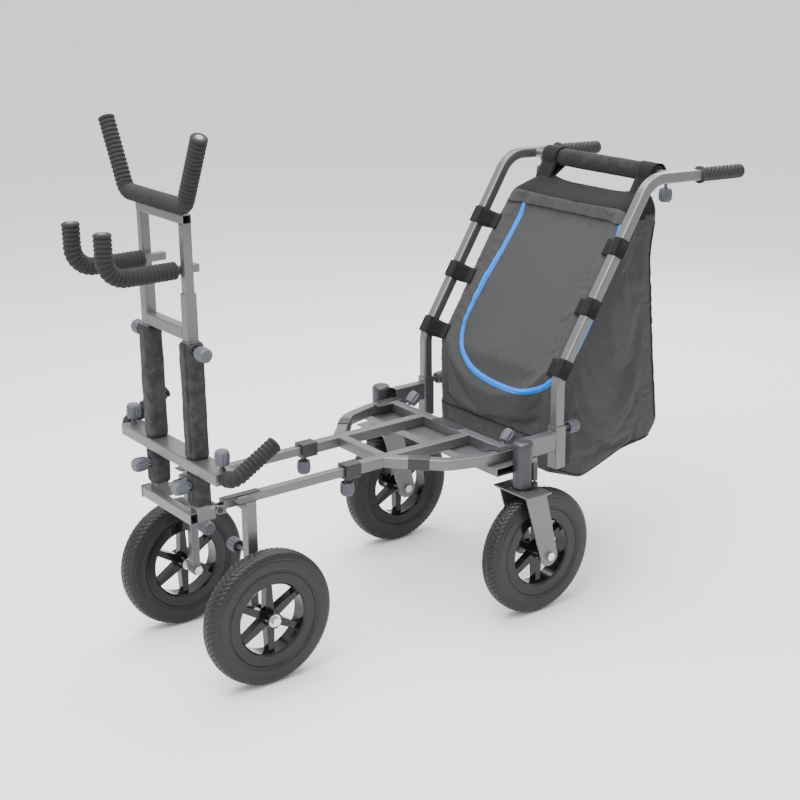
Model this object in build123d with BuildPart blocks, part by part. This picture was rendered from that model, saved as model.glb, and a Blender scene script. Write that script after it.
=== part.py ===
from build123d import *
import os
from math import atan2, cos, degrees, radians, sin

# A four-wheeled fishing trolley. It stands on z = 0. +X runs from the rod posts to the push
# handles, +Y is the pusher's right. Paired pieces are mirrored about the XZ plane.
os.makedirs("parts", exist_ok=True)

# ---------------------------------------------------------------- driving sizes
FRONT_AXLE_X = -528.0       # front wheel axis, measured from the middle of the overall length
SMALL_GAP = 0.3             # clearance between sliding or neighbouring bodies
BORE_GAP = 0.05             # radial clearance of a running fit

# wheels
WHEEL_RADIUS = 150.0
TYRE_WIDTH = 50.0
TYRE_SEAT_RADIUS = 100.0
RIM_LIP_RADIUS = 104.0
RIM_INNER_RADIUS = 78.0
RIM_WIDTH = 44.0
HUB_RADIUS = 18.0
HUB_LENGTH = 56.0
SPOKE_COUNT = 6
SPOKE_ROOT = 20.0
SPOKE_TIP = 12.0
SPOKE_DEPTH = 20.0
BEARING_RADIUS = 14.0
BEARING_WIDTH = 8.0
AXLE_RADIUS = 6.0
BOLT_HEAD = 8.0
BOLT_HEAD_RADIUS = 10.5
SPACER_RADIUS = 9.0
FRONT_WHEEL_Y = 184.0

# casters
PIVOT_X = FRONT_AXLE_X + 632.0
PIVOT_Y = 270.0
CASTER_TRAIL = 43.0
FORK_WIDTH = 94.0
FORK_WALL = 4.0
FORK_LEG_TOP = 60.0
FORK_LEG_END_RADIUS = 25.0
FORK_PLATE_X = 70.0
FORK_PLATE_Y = 120.0
FORK_TOP_Z = 312.0
STEM_RADIUS = 10.0
HOUSING_RADIUS = 23.0
HOUSING_BOTTOM_Z = 318.0
HOUSING_TOP_Z = 425.0
LOCK_RADIUS = 27.0          # lock pin's distance from the caster pivot
LOCK_PIN_RADIUS = 3.0
LOCK_TRAVEL = 7.0
LOCK_ANGLE = -45.0          # lock's bearing from +X on the left caster

# frame tubes
DECK_TUBE = 25.0
SLIDE_TUBE = 20.0
POST_TUBE = 30.0
TUBE_WALL = 2.2
TUBE_CORNER = 3.0
RAIL_Y = 87.0
DECK_TOP_Z = 397.0
DECK_FRONT_X = FRONT_AXLE_X + 284.0
DECK_CROSS_FRONT_X = FRONT_AXLE_X + 379.0
DECK_CROSS_REAR_X = FRONT_AXLE_X + 628.0
SIDE_RAIL_START_X = FRONT_AXLE_X + 372.0
SIDE_RAIL_CORNER_X = FRONT_AXLE_X + 476.0
SIDE_RAIL_CORNER_Y = 197.0
SIDE_RAIL_WIDE_X = FRONT_AXLE_X + 560.0
SIDE_RAIL_WIDE_Y = 224.0
SIDE_RAIL_END_X = FRONT_AXLE_X + 652.0
SIDE_RAIL_BEND = 55.0
BEAM_FRONT_X = FRONT_AXLE_X + 562.0
BEAM_REAR_X = FRONT_AXLE_X + 645.0
BEAM_THICK = 20.0

# handle arms and sockets
SOCKET_X = FRONT_AXLE_X + 756.0
HANDLE_Y = 246.0
SOCKET_BOTTOM_Z = 329.0
SOCKET_TOP_Z = 430.0
ARM_HEIGHT = 44.0
ARM_TOP_Z = 417.0
SOCKET_FLOOR = 3.0
SOCKET_KNOB_DROP = 12.0      # socket knob's distance below the socket's mouth
END_KNOB_Y = 180.0           # tilted knobs behind the rear crossbar
WEDGE_WIDTH = 24.0           # welded wedge that each tilted knob sits on
WEDGE_DEPTH = 12.0
WEDGE_RISE = 6.0
STRIP_THICK = 1.6            # black grip strips on the deck
LEFT_STRIP_START = 62.0      # from the side rail's start, along the flare
LEFT_STRIP_LENGTH = 48.0
RIGHT_STRIP_START = 84.0
RIGHT_STRIP_LENGTH = 40.0
CROSS_STRIP_SPAN = (-55.0, 40.0)
CORNER_PLATE_LENGTH = 62.0
CORNER_PLATE_WIDTH = 20.0
INNER_PLATE_SPAN = (84.0, 40.0)   # from the side rail's end
INNER_PLATE_WIDTH = 24.0

# front carriage: sliding rails, legs, fold hinge
FRONT_RAIL_END_X = FRONT_AXLE_X + 440.0
COLLAR_LENGTH = 40.0
COLLAR_WALL = 4.5
COLLAR_KNOB_AHEAD = 8.0      # collar knob's distance ahead of the deck rail's mouth
LEG_Y = 125.0
LEG_SLEEVE_BOTTOM_Z = 257.0
LEG_SLIDE_TOP_Z = 322.0
LEG_KNOB_Z = 272.0
HINGE_X = FRONT_AXLE_X - 52.0
HINGE_Z = 376.0
HINGE_BARREL_RADIUS = 8.0
HINGE_BARREL_WIDTH = 12.0
HINGE_CHEEK_RADIUS = 10.0
HINGE_PIN_RADIUS = 4.0
PLATE_THICK = 2.0

# rod posts and what they carry
POST_X = FRONT_AXLE_X - 94.0
POST_BASE_TOP_Z = 384.0
POST_BASE_DEPTH = 20.0
POST_BASE_HEIGHT = 25.0
POST_BASE_FRONT_X = FRONT_AXLE_X - 124.0
POST_STUB_Y = 112.0          # base crossbar's longer end
POST_CAP_THICK = 4.0
POST_KNOB_Z = 444.0
POST_TOP_Z = 748.0
PAD_SIZE = 42.0
PAD_LOW_BOTTOM_Z = 397.0
PAD_LOW_TOP_Z = 474.0
PAD_HIGH_BOTTOM_Z = 501.0
PAD_HIGH_TOP_Z = 745.0
PAD_CORNER = 11.0
LUGGAGE_BAR_Z = 488.0
LUGGAGE_BAR_X_SIZE = 50.0
LUGGAGE_BAR_HALF = 202.0
HORN_ROD_RADIUS = 8.0
HORN_CORNER_Y = 228.0
HORN_TIP_X = FRONT_AXLE_X + 8.0
HORN_TIP_Z = 548.0
HORN_BEND = 22.0
HORN_INSIDE = 95.0          # length of horn tube inside the luggage bar
HORN_FOAM_RADIUS = 17.5
LUGGAGE_KNOB_Y = 189.0
MAST_BOTTOM_Z = 420.0
MAST_STEP_Z = 845.0
MAST_KNOB_Z = 730.0
MAST_CROSS_Z = 762.0
TOP_FRAME_TOP_Z = 1005.0
TOP_FRAME_INSIDE = 60.0
HOOK_Z = 891.0
HOOK_TUBE_RADIUS = 8.0
HOOK_REACH_X = FRONT_AXLE_X - 262.0
HOOK_TIP_Z = 986.0
HOOK_BEND = 45.0
HOOK_FOAM_RADIUS = 18.5
REST_X = FRONT_AXLE_X - 110.0
REST_Z = 1024.0
REST_BEND_Y = 120.0
REST_TIP_Y = 192.0
REST_TIP_Z = 1167.0
REST_BEND = 30.0
REST_FOAM_RADIUS = 17.5

# push handle
HANDLE_TUBE = 25.0
HANDLE_BOTTOM_Z = 340.0
HANDLE_KINK_Z = 541.0
HANDLE_HEAD_X = FRONT_AXLE_X + 1026.0
HANDLE_HEAD_Z = 967.0
HANDLE_DROOP = 2.4          # degrees that the grips point down
GRIP_START_X = FRONT_AXLE_X + 1190.0
HANDLE_BEND = 72.0
GRIP_LENGTH = 146.0
GRIP_RADIUS = 17.0
GRIP_FLANGE_RADIUS = 20.5
GRIP_SPIGOT_RADIUS = 11.0
GRIP_FLANGE_LENGTH = 8.0
GRIP_END_WALL = 4.0
BAR_X = FRONT_AXLE_X + 1113.0
BAR_TUBE_RADIUS = 11.0
BAR_PAD_RADIUS = 22.5
BAR_PAD_HALF = 191.0
BAR_SPIGOT_RADIUS = 8.0
BAR_SPIGOT_LENGTH = 40.0
BAR_KNOB_Y = 215.0

# bag
BAG_HALF_WIDTH = 222.0
BAG_STANDOFF = 15.3         # from the upright's axis to the bag's front panel
BAG_BOTTOM_Z = 300.0
BAG_TOP_Z = 899.0
BAG_KEEL_X = FRONT_AXLE_X + 915.0
BAG_KEEL_Z = 256.0
BAG_BACK_LOW_X = FRONT_AXLE_X + 1047.0
BAG_BACK_LOW_Z = 304.0
BAG_BACK_X = FRONT_AXLE_X + 1122.0
BAG_BACK_Z = 374.0
BAG_BACK_TOP_X = FRONT_AXLE_X + 1096.0
STRAP_HEIGHTS = (561.0, 691.0, 820.0)
STRAP_LENGTH = 44.0
STRAP_THICK = 1.8
TAB_WIDTH = 44.0
BAR_STRAP_Y = 165.0
BAR_STRAP_WIDTH = 54.0

# clamp knobs
KNOB_RADIUS = 16.0
KNOB_BASE_RADIUS = 14.0
KNOB_TOP_RADIUS = 12.0
KNOB_LENGTH = 30.0
KNOB_LOBES = 7
FLUTE_RADIUS = 5.0
FLUTE_DEPTH = 1.8
STUD_RADIUS = 4.0
NUT_HEIGHT = 6.5
NUT_RADIUS = 7.5
STUD_SHOW = 11.0            # stud length between the nut and the knob
RAIL_KNOB_SHOW = 4.0
LEG_KNOB_SHOW = 31.0
POST_KNOB_SHOW = 7.5
MAST_KNOB_SHOW = 11.5
HORN_KNOB_SHOW = 7.5
BAR_KNOB_SHOW = 15.0
END_KNOB_SHOW = 6.0
END_STUD_DEPTH = 10.0

# ---------------------------------------------------------------- worked-out places
RAIL_Z = DECK_TOP_Z - DECK_TUBE / 2
SLIDE_TOP_Z = RAIL_Z + SLIDE_TUBE / 2
CASTER_AXLE_X = PIVOT_X + CASTER_TRAIL
UPRIGHT_X = SOCKET_X
HOOK_Y = RAIL_Y - SLIDE_TUBE / 2 - HOOK_TUBE_RADIUS
SIDES = {"left": -1, "right": 1}


# ---------------------------------------------------------------- small helpers
def block(x, y, z, mode=Mode.ADD):
    """A block between the (low, high) pairs x, y and z."""
    with Locations(((x[0] + x[1]) / 2, (y[0] + y[1]) / 2, (z[0] + z[1]) / 2)):
        Box(abs(x[1] - x[0]), abs(y[1] - y[0]), abs(z[1] - z[0]), mode=mode)


def span(middle, size):
    """The (low, high) pair of a length centred on a value."""
    return (middle - size / 2, middle + size / 2)


def along_x(x, y, z):
    """A plane that faces +X, with its first axis along Y."""
    return Plane(origin=(x, y, z), x_dir=(0, 1, 0), z_dir=(1, 0, 0))


def along_y(x, y, z):
    """A plane that faces +Y, with its first axis along X."""
    return Plane(origin=(x, y, z), x_dir=(1, 0, 0), z_dir=(0, 1, 0))


def along_z(x, y, z):
    """A plane that faces +Z."""
    return Plane(origin=(x, y, z))


def rod(plane, radius, length, mode=Mode.ADD):
    """A round bar that stands on a plane."""
    with BuildSketch(plane) as section:
        Circle(radius)
    extrude(section.sketch, amount=length, mode=mode)


def tube(plane, width, height, length, wall=TUBE_WALL, corner=TUBE_CORNER):
    """A hollow square-cornered tube that stands on a plane."""
    with BuildSketch(plane) as section:
        RectangleRounded(width, height, corner)
        inner_corner = max(corner - wall, 0.4)
        RectangleRounded(width - 2 * wall, height - 2 * wall, inner_corner, mode=Mode.SUBTRACT)
    extrude(section.sketch, amount=length)


def bent_tube(points, bend, side, width, height, wall=TUBE_WALL, corner=TUBE_CORNER):
    """A hollow tube swept along a line with rounded bends; side is the section's first axis."""
    with BuildLine() as route:
        FilletPolyline(*points, radius=bend)
    start = Plane(origin=route.line @ 0, x_dir=side, z_dir=route.line % 0)
    with BuildSketch(start) as section:
        RectangleRounded(width, height, corner)
        inner_corner = max(corner - wall, 0.4)
        RectangleRounded(width - 2 * wall, height - 2 * wall, inner_corner, mode=Mode.SUBTRACT)
    sweep(section.sketch, path=route.line)


def bent_sleeve(points, bend, side, outer, inner):
    """A round sleeve swept along a line with rounded bends."""
    with BuildLine() as route:
        FilletPolyline(*points, radius=bend)
    start = Plane(origin=route.line @ 0, x_dir=side, z_dir=route.line % 0)
    with BuildSketch(start) as section:
        Circle(outer)
        if inner:
            Circle(inner, mode=Mode.SUBTRACT)
    sweep(section.sketch, path=route.line)


def save(part, name):
    """Label a finished piece and write it to its own file."""
    part.label = name
    export_step(part, f"parts/{name}.step")


def nut(plane):
    """A welded hexagon nut with a clear bore, standing on a plane."""
    with BuildSketch(plane) as section:
        RegularPolygon(NUT_RADIUS, 6)
        Circle(STUD_RADIUS + 2 * BORE_GAP, mode=Mode.SUBTRACT)
    extrude(section.sketch, amount=NUT_HEIGHT)


def stud_hole(plane, depth):
    """A clear hole for a clamp stud, cut back from a plane."""
    rod(plane, STUD_RADIUS + 2 * BORE_GAP, -depth, Mode.SUBTRACT)


def knob_piece(seat, depth, name, show=STUD_SHOW):
    """A lobed clamp knob on its stud. The seat plane is the tube face that the nut is welded to."""
    grip_start = NUT_HEIGHT + show
    socket_depth = KNOB_LENGTH / 2
    stud_depth = KNOB_LENGTH * 0.7
    base = seat.offset(grip_start)
    side_plane = Plane(origin=base.origin, x_dir=base.x_dir, z_dir=-base.y_dir)
    with BuildPart() as knob:
        with BuildSketch(side_plane):
            with BuildLine():
                outline = Spline(
                    (KNOB_BASE_RADIUS, 0),
                    (KNOB_RADIUS, KNOB_LENGTH * 0.5),
                    (KNOB_RADIUS - 1, KNOB_LENGTH * 0.85),
                )
                Polyline((KNOB_BASE_RADIUS, 0), (0, 0), (0, KNOB_LENGTH), (KNOB_TOP_RADIUS, KNOB_LENGTH))
                Line((KNOB_TOP_RADIUS, KNOB_LENGTH), outline @ 1)
            make_face()
        revolve(axis=Axis(base.origin, base.z_dir))
        with BuildSketch(base):
            with PolarLocations(KNOB_RADIUS + FLUTE_RADIUS - FLUTE_DEPTH, KNOB_LOBES):
                Circle(FLUTE_RADIUS)
        extrude(amount=KNOB_LENGTH, mode=Mode.SUBTRACT)
        with BuildSketch(base):
            Circle(KNOB_RADIUS - 6)
            Circle(STUD_RADIUS + 2.2, mode=Mode.SUBTRACT)
        extrude(amount=socket_depth, mode=Mode.SUBTRACT)
        with BuildSketch(base):
            Circle(STUD_RADIUS)
        extrude(amount=stud_depth, mode=Mode.SUBTRACT)
    with BuildPart() as stud:
        with BuildSketch(seat.offset(-depth)):
            Circle(STUD_RADIUS)
        extrude(amount=depth + grip_start + stud_depth)
    save(Compound(children=[knob.part, stud.part]), name)


# ---------------------------------------------------------------- wheels
def tyre_section(plane):
    """Half section of the tyre in (axial, radial) values, closed by its inner seat."""
    bead = RIM_WIDTH / 2 - 3
    edge = RIM_WIDTH / 2 + 1
    half = TYRE_WIDTH / 2
    with BuildSketch(plane) as section:
        with BuildLine():
            Line((-bead, TYRE_SEAT_RADIUS), (bead, TYRE_SEAT_RADIUS))
            shoulders = []
            for end in (-1, 1):
                Polyline(
                    (end * bead, TYRE_SEAT_RADIUS),
                    (end * bead, RIM_LIP_RADIUS),
                    (end * edge, RIM_LIP_RADIUS + 2),
                )
                wall = Spline(
                    (end * edge, RIM_LIP_RADIUS + 2),
                    (end * half, WHEEL_RADIUS - 22),
                    (end * half * 0.72, WHEEL_RADIUS - 4),
                )
                shoulders.append(wall @ 1)
            ThreePointArc(shoulders[0], (0, WHEEL_RADIUS), shoulders[1])
        make_face()
    return section.sketch


def wheel(x, y, name):
    """A spoked rim and its tyre, turning about the Y line through (x, wheel radius)."""
    section = Plane(origin=(x, y, WHEEL_RADIUS), x_dir=(0, 1, 0), z_dir=(1, 0, 0))
    turn_axis = Axis((x, y, WHEEL_RADIUS), (0, 1, 0))
    with BuildPart() as tyre:
        revolve(tyre_section(section), axis=turn_axis)
    save(tyre.part, f"{name}_tyre")

    lip = RIM_WIDTH / 2
    with BuildPart() as rim:
        with BuildSketch(section):
            with BuildLine():
                Polyline(
                    (-lip, RIM_INNER_RADIUS + 4),
                    (-lip, RIM_LIP_RADIUS),
                    (-lip + 3, RIM_LIP_RADIUS),
                    (-lip + 3, TYRE_SEAT_RADIUS),
                    (lip - 3, TYRE_SEAT_RADIUS),
                    (lip - 3, RIM_LIP_RADIUS),
                    (lip, RIM_LIP_RADIUS),
                    (lip, RIM_INNER_RADIUS + 4),
                    (lip - 4, RIM_INNER_RADIUS),
                    (-lip + 4, RIM_INNER_RADIUS),
                    close=True,
                )
            make_face()
        revolve(axis=turn_axis)
        with BuildSketch(section):
            with Locations((0, HUB_RADIUS / 2)):
                Rectangle(HUB_LENGTH, HUB_RADIUS)
        revolve(axis=turn_axis)
        hub_plane = Plane(origin=(x, y - SPOKE_DEPTH / 2, WHEEL_RADIUS), x_dir=(0, 0, 1), z_dir=(0, 1, 0))
        with BuildSketch(hub_plane):
            with PolarLocations(0, SPOKE_COUNT):
                with Locations(((RIM_INNER_RADIUS + HUB_RADIUS) / 2, 0)):
                    Trapezoid(
                        SPOKE_ROOT,
                        RIM_INNER_RADIUS - HUB_RADIUS + 10,
                        degrees(atan2(RIM_INNER_RADIUS, (SPOKE_ROOT - SPOKE_TIP) / 2)),
                        rotation=-90,
                    )
        extrude(amount=SPOKE_DEPTH)
        with BuildSketch(section):
            with Locations((0, (AXLE_RADIUS + 2) / 2)):
                Rectangle(HUB_LENGTH + 2, AXLE_RADIUS + 2)
        revolve(axis=turn_axis, mode=Mode.SUBTRACT)
        for end in (-1, 1):
            seat = (HUB_LENGTH - BEARING_WIDTH) / 2
            with BuildSketch(section):
                with Locations((end * (seat + 0.5), (BEARING_RADIUS + BORE_GAP) / 2)):
                    Rectangle(BEARING_WIDTH + 1, BEARING_RADIUS + BORE_GAP)
            revolve(axis=turn_axis, mode=Mode.SUBTRACT)
    save(rim.part, f"{name}_rim")


def axle_set(x, y, low, high):
    """Axle bolt that clamps the Y span low to high, and two bearings in the hub centred on y."""
    hub = HUB_LENGTH / 2
    with BuildPart() as bolt:
        rod(along_y(x, low, WHEEL_RADIUS), AXLE_RADIUS, high - low)
        for start in (low - BOLT_HEAD, high):
            with BuildSketch(along_y(x, start, WHEEL_RADIUS)):
                RegularPolygon(BOLT_HEAD_RADIUS, 6)
            extrude(amount=BOLT_HEAD)
    pieces = [bolt.part]
    for start in (y - hub, y + hub - BEARING_WIDTH):
        with BuildPart() as bearing:
            with BuildSketch(along_y(x, start, WHEEL_RADIUS)):
                Circle(BEARING_RADIUS)
                Circle(AXLE_RADIUS, mode=Mode.SUBTRACT)
            extrude(amount=BEARING_WIDTH)
        pieces.append(bearing.part)
    return pieces


def spacer(x, low, high):
    """A distance tube on an axle, between two Y values."""
    with BuildPart() as ring:
        with BuildSketch(along_y(x, low, WHEEL_RADIUS)):
            Circle(SPACER_RADIUS)
            Circle(AXLE_RADIUS, mode=Mode.SUBTRACT)
        extrude(amount=high - low)
    return ring.part


# ---------------------------------------------------------------- casters
def caster(side_name, side):
    """Fork, axle set, wheel and swivel lock of one caster."""
    y = side * PIVOT_Y
    inner = FORK_WIDTH / 2 - FORK_WALL
    with BuildPart() as fork:
        block(span(PIVOT_X, FORK_PLATE_X), span(y, FORK_PLATE_Y), (FORK_TOP_Z - FORK_WALL, FORK_TOP_Z))
        for end in (-1, 1):
            leg_face = y + end * inner if end > 0 else y - inner - FORK_WALL
            with BuildSketch(Plane(origin=(0, leg_face, 0), x_dir=(1, 0, 0), z_dir=(0, -1, 0))):
                top_z = FORK_TOP_Z - FORK_WALL
                with BuildLine():
                    Polyline(
                        (PIVOT_X - FORK_LEG_TOP / 2, top_z),
                        (PIVOT_X + FORK_LEG_TOP / 2, top_z),
                        (CASTER_AXLE_X + FORK_LEG_END_RADIUS, WHEEL_RADIUS),
                        (CASTER_AXLE_X - FORK_LEG_END_RADIUS, WHEEL_RADIUS),
                        close=True,
                    )
                make_face()
                with Locations((CASTER_AXLE_X, WHEEL_RADIUS)):
                    Circle(FORK_LEG_END_RADIUS)
            extrude(amount=-FORK_WALL)
        rod(along_z(PIVOT_X, y, FORK_TOP_Z), STEM_RADIUS, HOUSING_TOP_Z - 14 - FORK_TOP_Z)
        rod(along_y(CASTER_AXLE_X, y - FORK_WIDTH, WHEEL_RADIUS), AXLE_RADIUS, 2 * FORK_WIDTH, Mode.SUBTRACT)
        with BuildSketch(along_z(PIVOT_X, y, FORK_TOP_Z)):
            with PolarLocations(LOCK_RADIUS, 4, start_angle=side * -LOCK_ANGLE):
                Circle(LOCK_PIN_RADIUS + 0.5)
        extrude(amount=-FORK_WALL, mode=Mode.SUBTRACT)
    save(fork.part, f"caster_fork_{side_name}")

    half = FORK_WIDTH / 2
    pieces = axle_set(CASTER_AXLE_X, y, y - half, y + half)
    hub = HUB_LENGTH / 2
    pieces.append(spacer(CASTER_AXLE_X, y - inner, y - hub - SMALL_GAP))
    pieces.append(spacer(CASTER_AXLE_X, y + hub + SMALL_GAP, y + inner))
    save(Compound(children=pieces), f"caster_axle_{side_name}")
    wheel(CASTER_AXLE_X, y, f"caster_{side_name}")

    lock_x = PIVOT_X + LOCK_RADIUS * cos(radians(LOCK_ANGLE))
    lock_y = y - side * LOCK_RADIUS * sin(radians(LOCK_ANGLE))
    pin_top = HOUSING_BOTTOM_Z + 44
    with BuildPart() as lever:
        rod(along_z(lock_x, lock_y, HOUSING_BOTTOM_Z + 16), 7, 40)
        rod(along_z(lock_x, lock_y, HOUSING_BOTTOM_Z + 16), LOCK_PIN_RADIUS, 28, Mode.SUBTRACT)
        chamfer(lever.faces().sort_by(Axis.Z)[-1].edges(), 3)
    with BuildPart() as pin:
        rod(along_z(lock_x, lock_y, FORK_TOP_Z + 1.5), LOCK_PIN_RADIUS, pin_top - FORK_TOP_Z - 1.5)
    save(Compound(children=[lever.part, pin.part]), f"caster_lock_{side_name}")


for side_name, side in SIDES.items():
    caster(side_name, side)
    wheel(FRONT_AXLE_X, side * FRONT_WHEEL_Y, f"front_{side_name}")


# ---------------------------------------------------------------- deck
def rail_points(side):
    """The side rail's centre line, from the deck rail out to its rear end."""
    return [
        (SIDE_RAIL_START_X, side * RAIL_Y, RAIL_Z),
        (SIDE_RAIL_CORNER_X, side * SIDE_RAIL_CORNER_Y, RAIL_Z),
        (SIDE_RAIL_WIDE_X, side * SIDE_RAIL_WIDE_Y, RAIL_Z),
        (SIDE_RAIL_END_X, side * SIDE_RAIL_WIDE_Y, RAIL_Z),
    ]


half_deck = DECK_TUBE / 2
rail_length = DECK_CROSS_REAR_X - half_deck - DECK_FRONT_X
with BuildPart() as deck_rails:
    for side in SIDES.values():
        tube(along_x(DECK_FRONT_X, side * RAIL_Y, RAIL_Z), DECK_TUBE, DECK_TUBE, rail_length)
save(deck_rails.part, "deck_rails")

with BuildPart() as side_rails:
    for side in SIDES.values():
        flare = Vector(*rail_points(side)[1]) - Vector(*rail_points(side)[0])
        across = flare.cross(Vector(0, 0, 1)).normalized()
        bent_tube(rail_points(side), SIDE_RAIL_BEND, across, DECK_TUBE, DECK_TUBE)
    rail_outer = RAIL_Y + half_deck
    block(span(SIDE_RAIL_START_X, 200), (-rail_outer, rail_outer), span(RAIL_Z, 60), Mode.SUBTRACT)
save(side_rails.part, "deck_side_rails")

cross_front_half = RAIL_Y - half_deck
cross_rear_half = SIDE_RAIL_WIDE_Y - half_deck
beam_top = DECK_TOP_Z - DECK_TUBE
beam_half = PIVOT_Y - 8
arm_middle_z = ARM_TOP_Z - ARM_HEIGHT / 2
arm_bottom = ARM_TOP_Z - ARM_HEIGHT
end_knob_seats = {
    name: Plane(
        origin=(DECK_CROSS_REAR_X + half_deck + 5, side * END_KNOB_Y, RAIL_Z + 1),
        x_dir=(0, 1, 0),
        z_dir=(1, 0, 1),
    )
    for name, side in SIDES.items()
}
with BuildPart() as crossmembers:
    tube(along_y(DECK_CROSS_FRONT_X, -cross_front_half, RAIL_Z), DECK_TUBE, DECK_TUBE, 2 * cross_front_half)
    tube(along_y(DECK_CROSS_REAR_X, -cross_rear_half, RAIL_Z), DECK_TUBE, DECK_TUBE, 2 * cross_rear_half)
    for side in SIDES.values():
        rear_face = DECK_CROSS_REAR_X + half_deck
        with BuildSketch(along_y(0, side * END_KNOB_Y - WEDGE_WIDTH / 2, 0)):
            with BuildLine():
                Polyline(
                    (rear_face, -RAIL_Z - WEDGE_RISE),
                    (rear_face + WEDGE_DEPTH, -RAIL_Z + WEDGE_RISE),
                    (rear_face, -RAIL_Z + WEDGE_RISE),
                    close=True,
                )
            make_face()
        extrude(amount=WEDGE_WIDTH)
    for seat in end_knob_seats.values():
        stud_hole(seat, END_STUD_DEPTH + 4)
    beam_middle_x = (BEAM_FRONT_X + BEAM_REAR_X) / 2
    beam_width = BEAM_REAR_X - BEAM_FRONT_X
    tube(along_y(beam_middle_x, -beam_half, beam_top - BEAM_THICK / 2), beam_width, BEAM_THICK, 2 * beam_half)
    for side in SIDES.values():
        arm_span = span(side * HANDLE_Y, DECK_TUBE)
        block((BEAM_REAR_X - 2, SIDE_RAIL_END_X + 34), arm_span, (beam_top - BEAM_THICK, beam_top))
        rod(along_z(PIVOT_X, side * PIVOT_Y, 0), HOUSING_RADIUS + BORE_GAP, HOUSING_TOP_Z, Mode.SUBTRACT)
save(crossmembers.part, "deck_crossmembers")

with BuildPart() as housings:
    for side in SIDES.values():
        y = side * PIVOT_Y
        lock_x = PIVOT_X + LOCK_RADIUS * cos(radians(LOCK_ANGLE))
        lock_y = y - side * LOCK_RADIUS * sin(radians(LOCK_ANGLE))
        rod(along_z(PIVOT_X, y, HOUSING_BOTTOM_Z), HOUSING_RADIUS, HOUSING_TOP_Z - HOUSING_BOTTOM_Z)
        rod(along_z(lock_x, lock_y, HOUSING_BOTTOM_Z), 8, 9)
        rod(along_z(lock_x, lock_y, HOUSING_BOTTOM_Z + 9), 7 + SMALL_GAP, 62, Mode.SUBTRACT)
        rod(along_z(lock_x, lock_y, HOUSING_BOTTOM_Z), LOCK_PIN_RADIUS + BORE_GAP, 12, Mode.SUBTRACT)
        bore_height = HOUSING_TOP_Z - 13 - HOUSING_BOTTOM_Z
        rod(along_z(PIVOT_X, y, HOUSING_BOTTOM_Z), STEM_RADIUS + BORE_GAP, bore_height, Mode.SUBTRACT)
    fillet(housings.faces().sort_by(Axis.Z)[-2:].edges(), 10)
save(housings.part, "caster_housings")

collar_size = DECK_TUBE + 2 * COLLAR_WALL
collar_knob_x = DECK_FRONT_X - COLLAR_KNOB_AHEAD
with BuildPart() as collars:
    for side in SIDES.values():
        y = side * RAIL_Y
        with BuildSketch(along_x(DECK_FRONT_X - COLLAR_LENGTH / 2, y, RAIL_Z)):
            RectangleRounded(collar_size, collar_size, 5)
            Rectangle(SLIDE_TUBE + 2 * SMALL_GAP, SLIDE_TUBE + 2 * SMALL_GAP, mode=Mode.SUBTRACT)
        extrude(amount=COLLAR_LENGTH)
        block(
            (DECK_FRONT_X, DECK_FRONT_X + COLLAR_LENGTH),
            span(y, DECK_TUBE),
            span(RAIL_Z, DECK_TUBE),
            Mode.SUBTRACT,
        )
        seat = Plane(origin=(collar_knob_x, y, RAIL_Z - collar_size / 2), z_dir=(0, 0, -1))
        nut(seat)
        stud_hole(seat, collar_size / 2 - SLIDE_TUBE / 2)
save(collars.part, "rail_collars")

strip_size = DECK_TUBE + 2 * STRIP_THICK
flare_angle = atan2(SIDE_RAIL_CORNER_Y - RAIL_Y, SIDE_RAIL_CORNER_X - SIDE_RAIL_START_X)
with BuildPart() as strips:
    left_strip = (-1, LEFT_STRIP_START, LEFT_STRIP_LENGTH)
    right_strip = (1, RIGHT_STRIP_START, RIGHT_STRIP_LENGTH)
    for side, strip_start, strip_length in (left_strip, right_strip):
        heading = (cos(flare_angle), side * sin(flare_angle), 0)
        start = (
            SIDE_RAIL_START_X + strip_start * heading[0],
            side * RAIL_Y + strip_start * heading[1],
            RAIL_Z,
        )
        strip_plane = Plane(origin=start, x_dir=(0, 0, 1), z_dir=heading)
        tube(strip_plane, strip_size, strip_size, strip_length, STRIP_THICK)
    block(span(DECK_CROSS_REAR_X, DECK_TUBE), CROSS_STRIP_SPAN, (DECK_TOP_Z, DECK_TOP_Z + STRIP_THICK))
    plate_z = (DECK_TOP_Z, DECK_TOP_Z + PLATE_THICK)
    for side in SIDES.values():
        plate_x = (SIDE_RAIL_END_X - CORNER_PLATE_LENGTH, SIDE_RAIL_END_X)
        block(plate_x, span(side * SIDE_RAIL_WIDE_Y, CORNER_PLATE_WIDTH), plate_z)
        plate_x = tuple(SIDE_RAIL_END_X - offset for offset in INNER_PLATE_SPAN)
        inner_y = side * (SIDE_RAIL_WIDE_Y - CORNER_PLATE_WIDTH)
        block(plate_x, span(inner_y, INNER_PLATE_WIDTH), plate_z)
save(strips.part, "deck_grip_strips")

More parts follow.
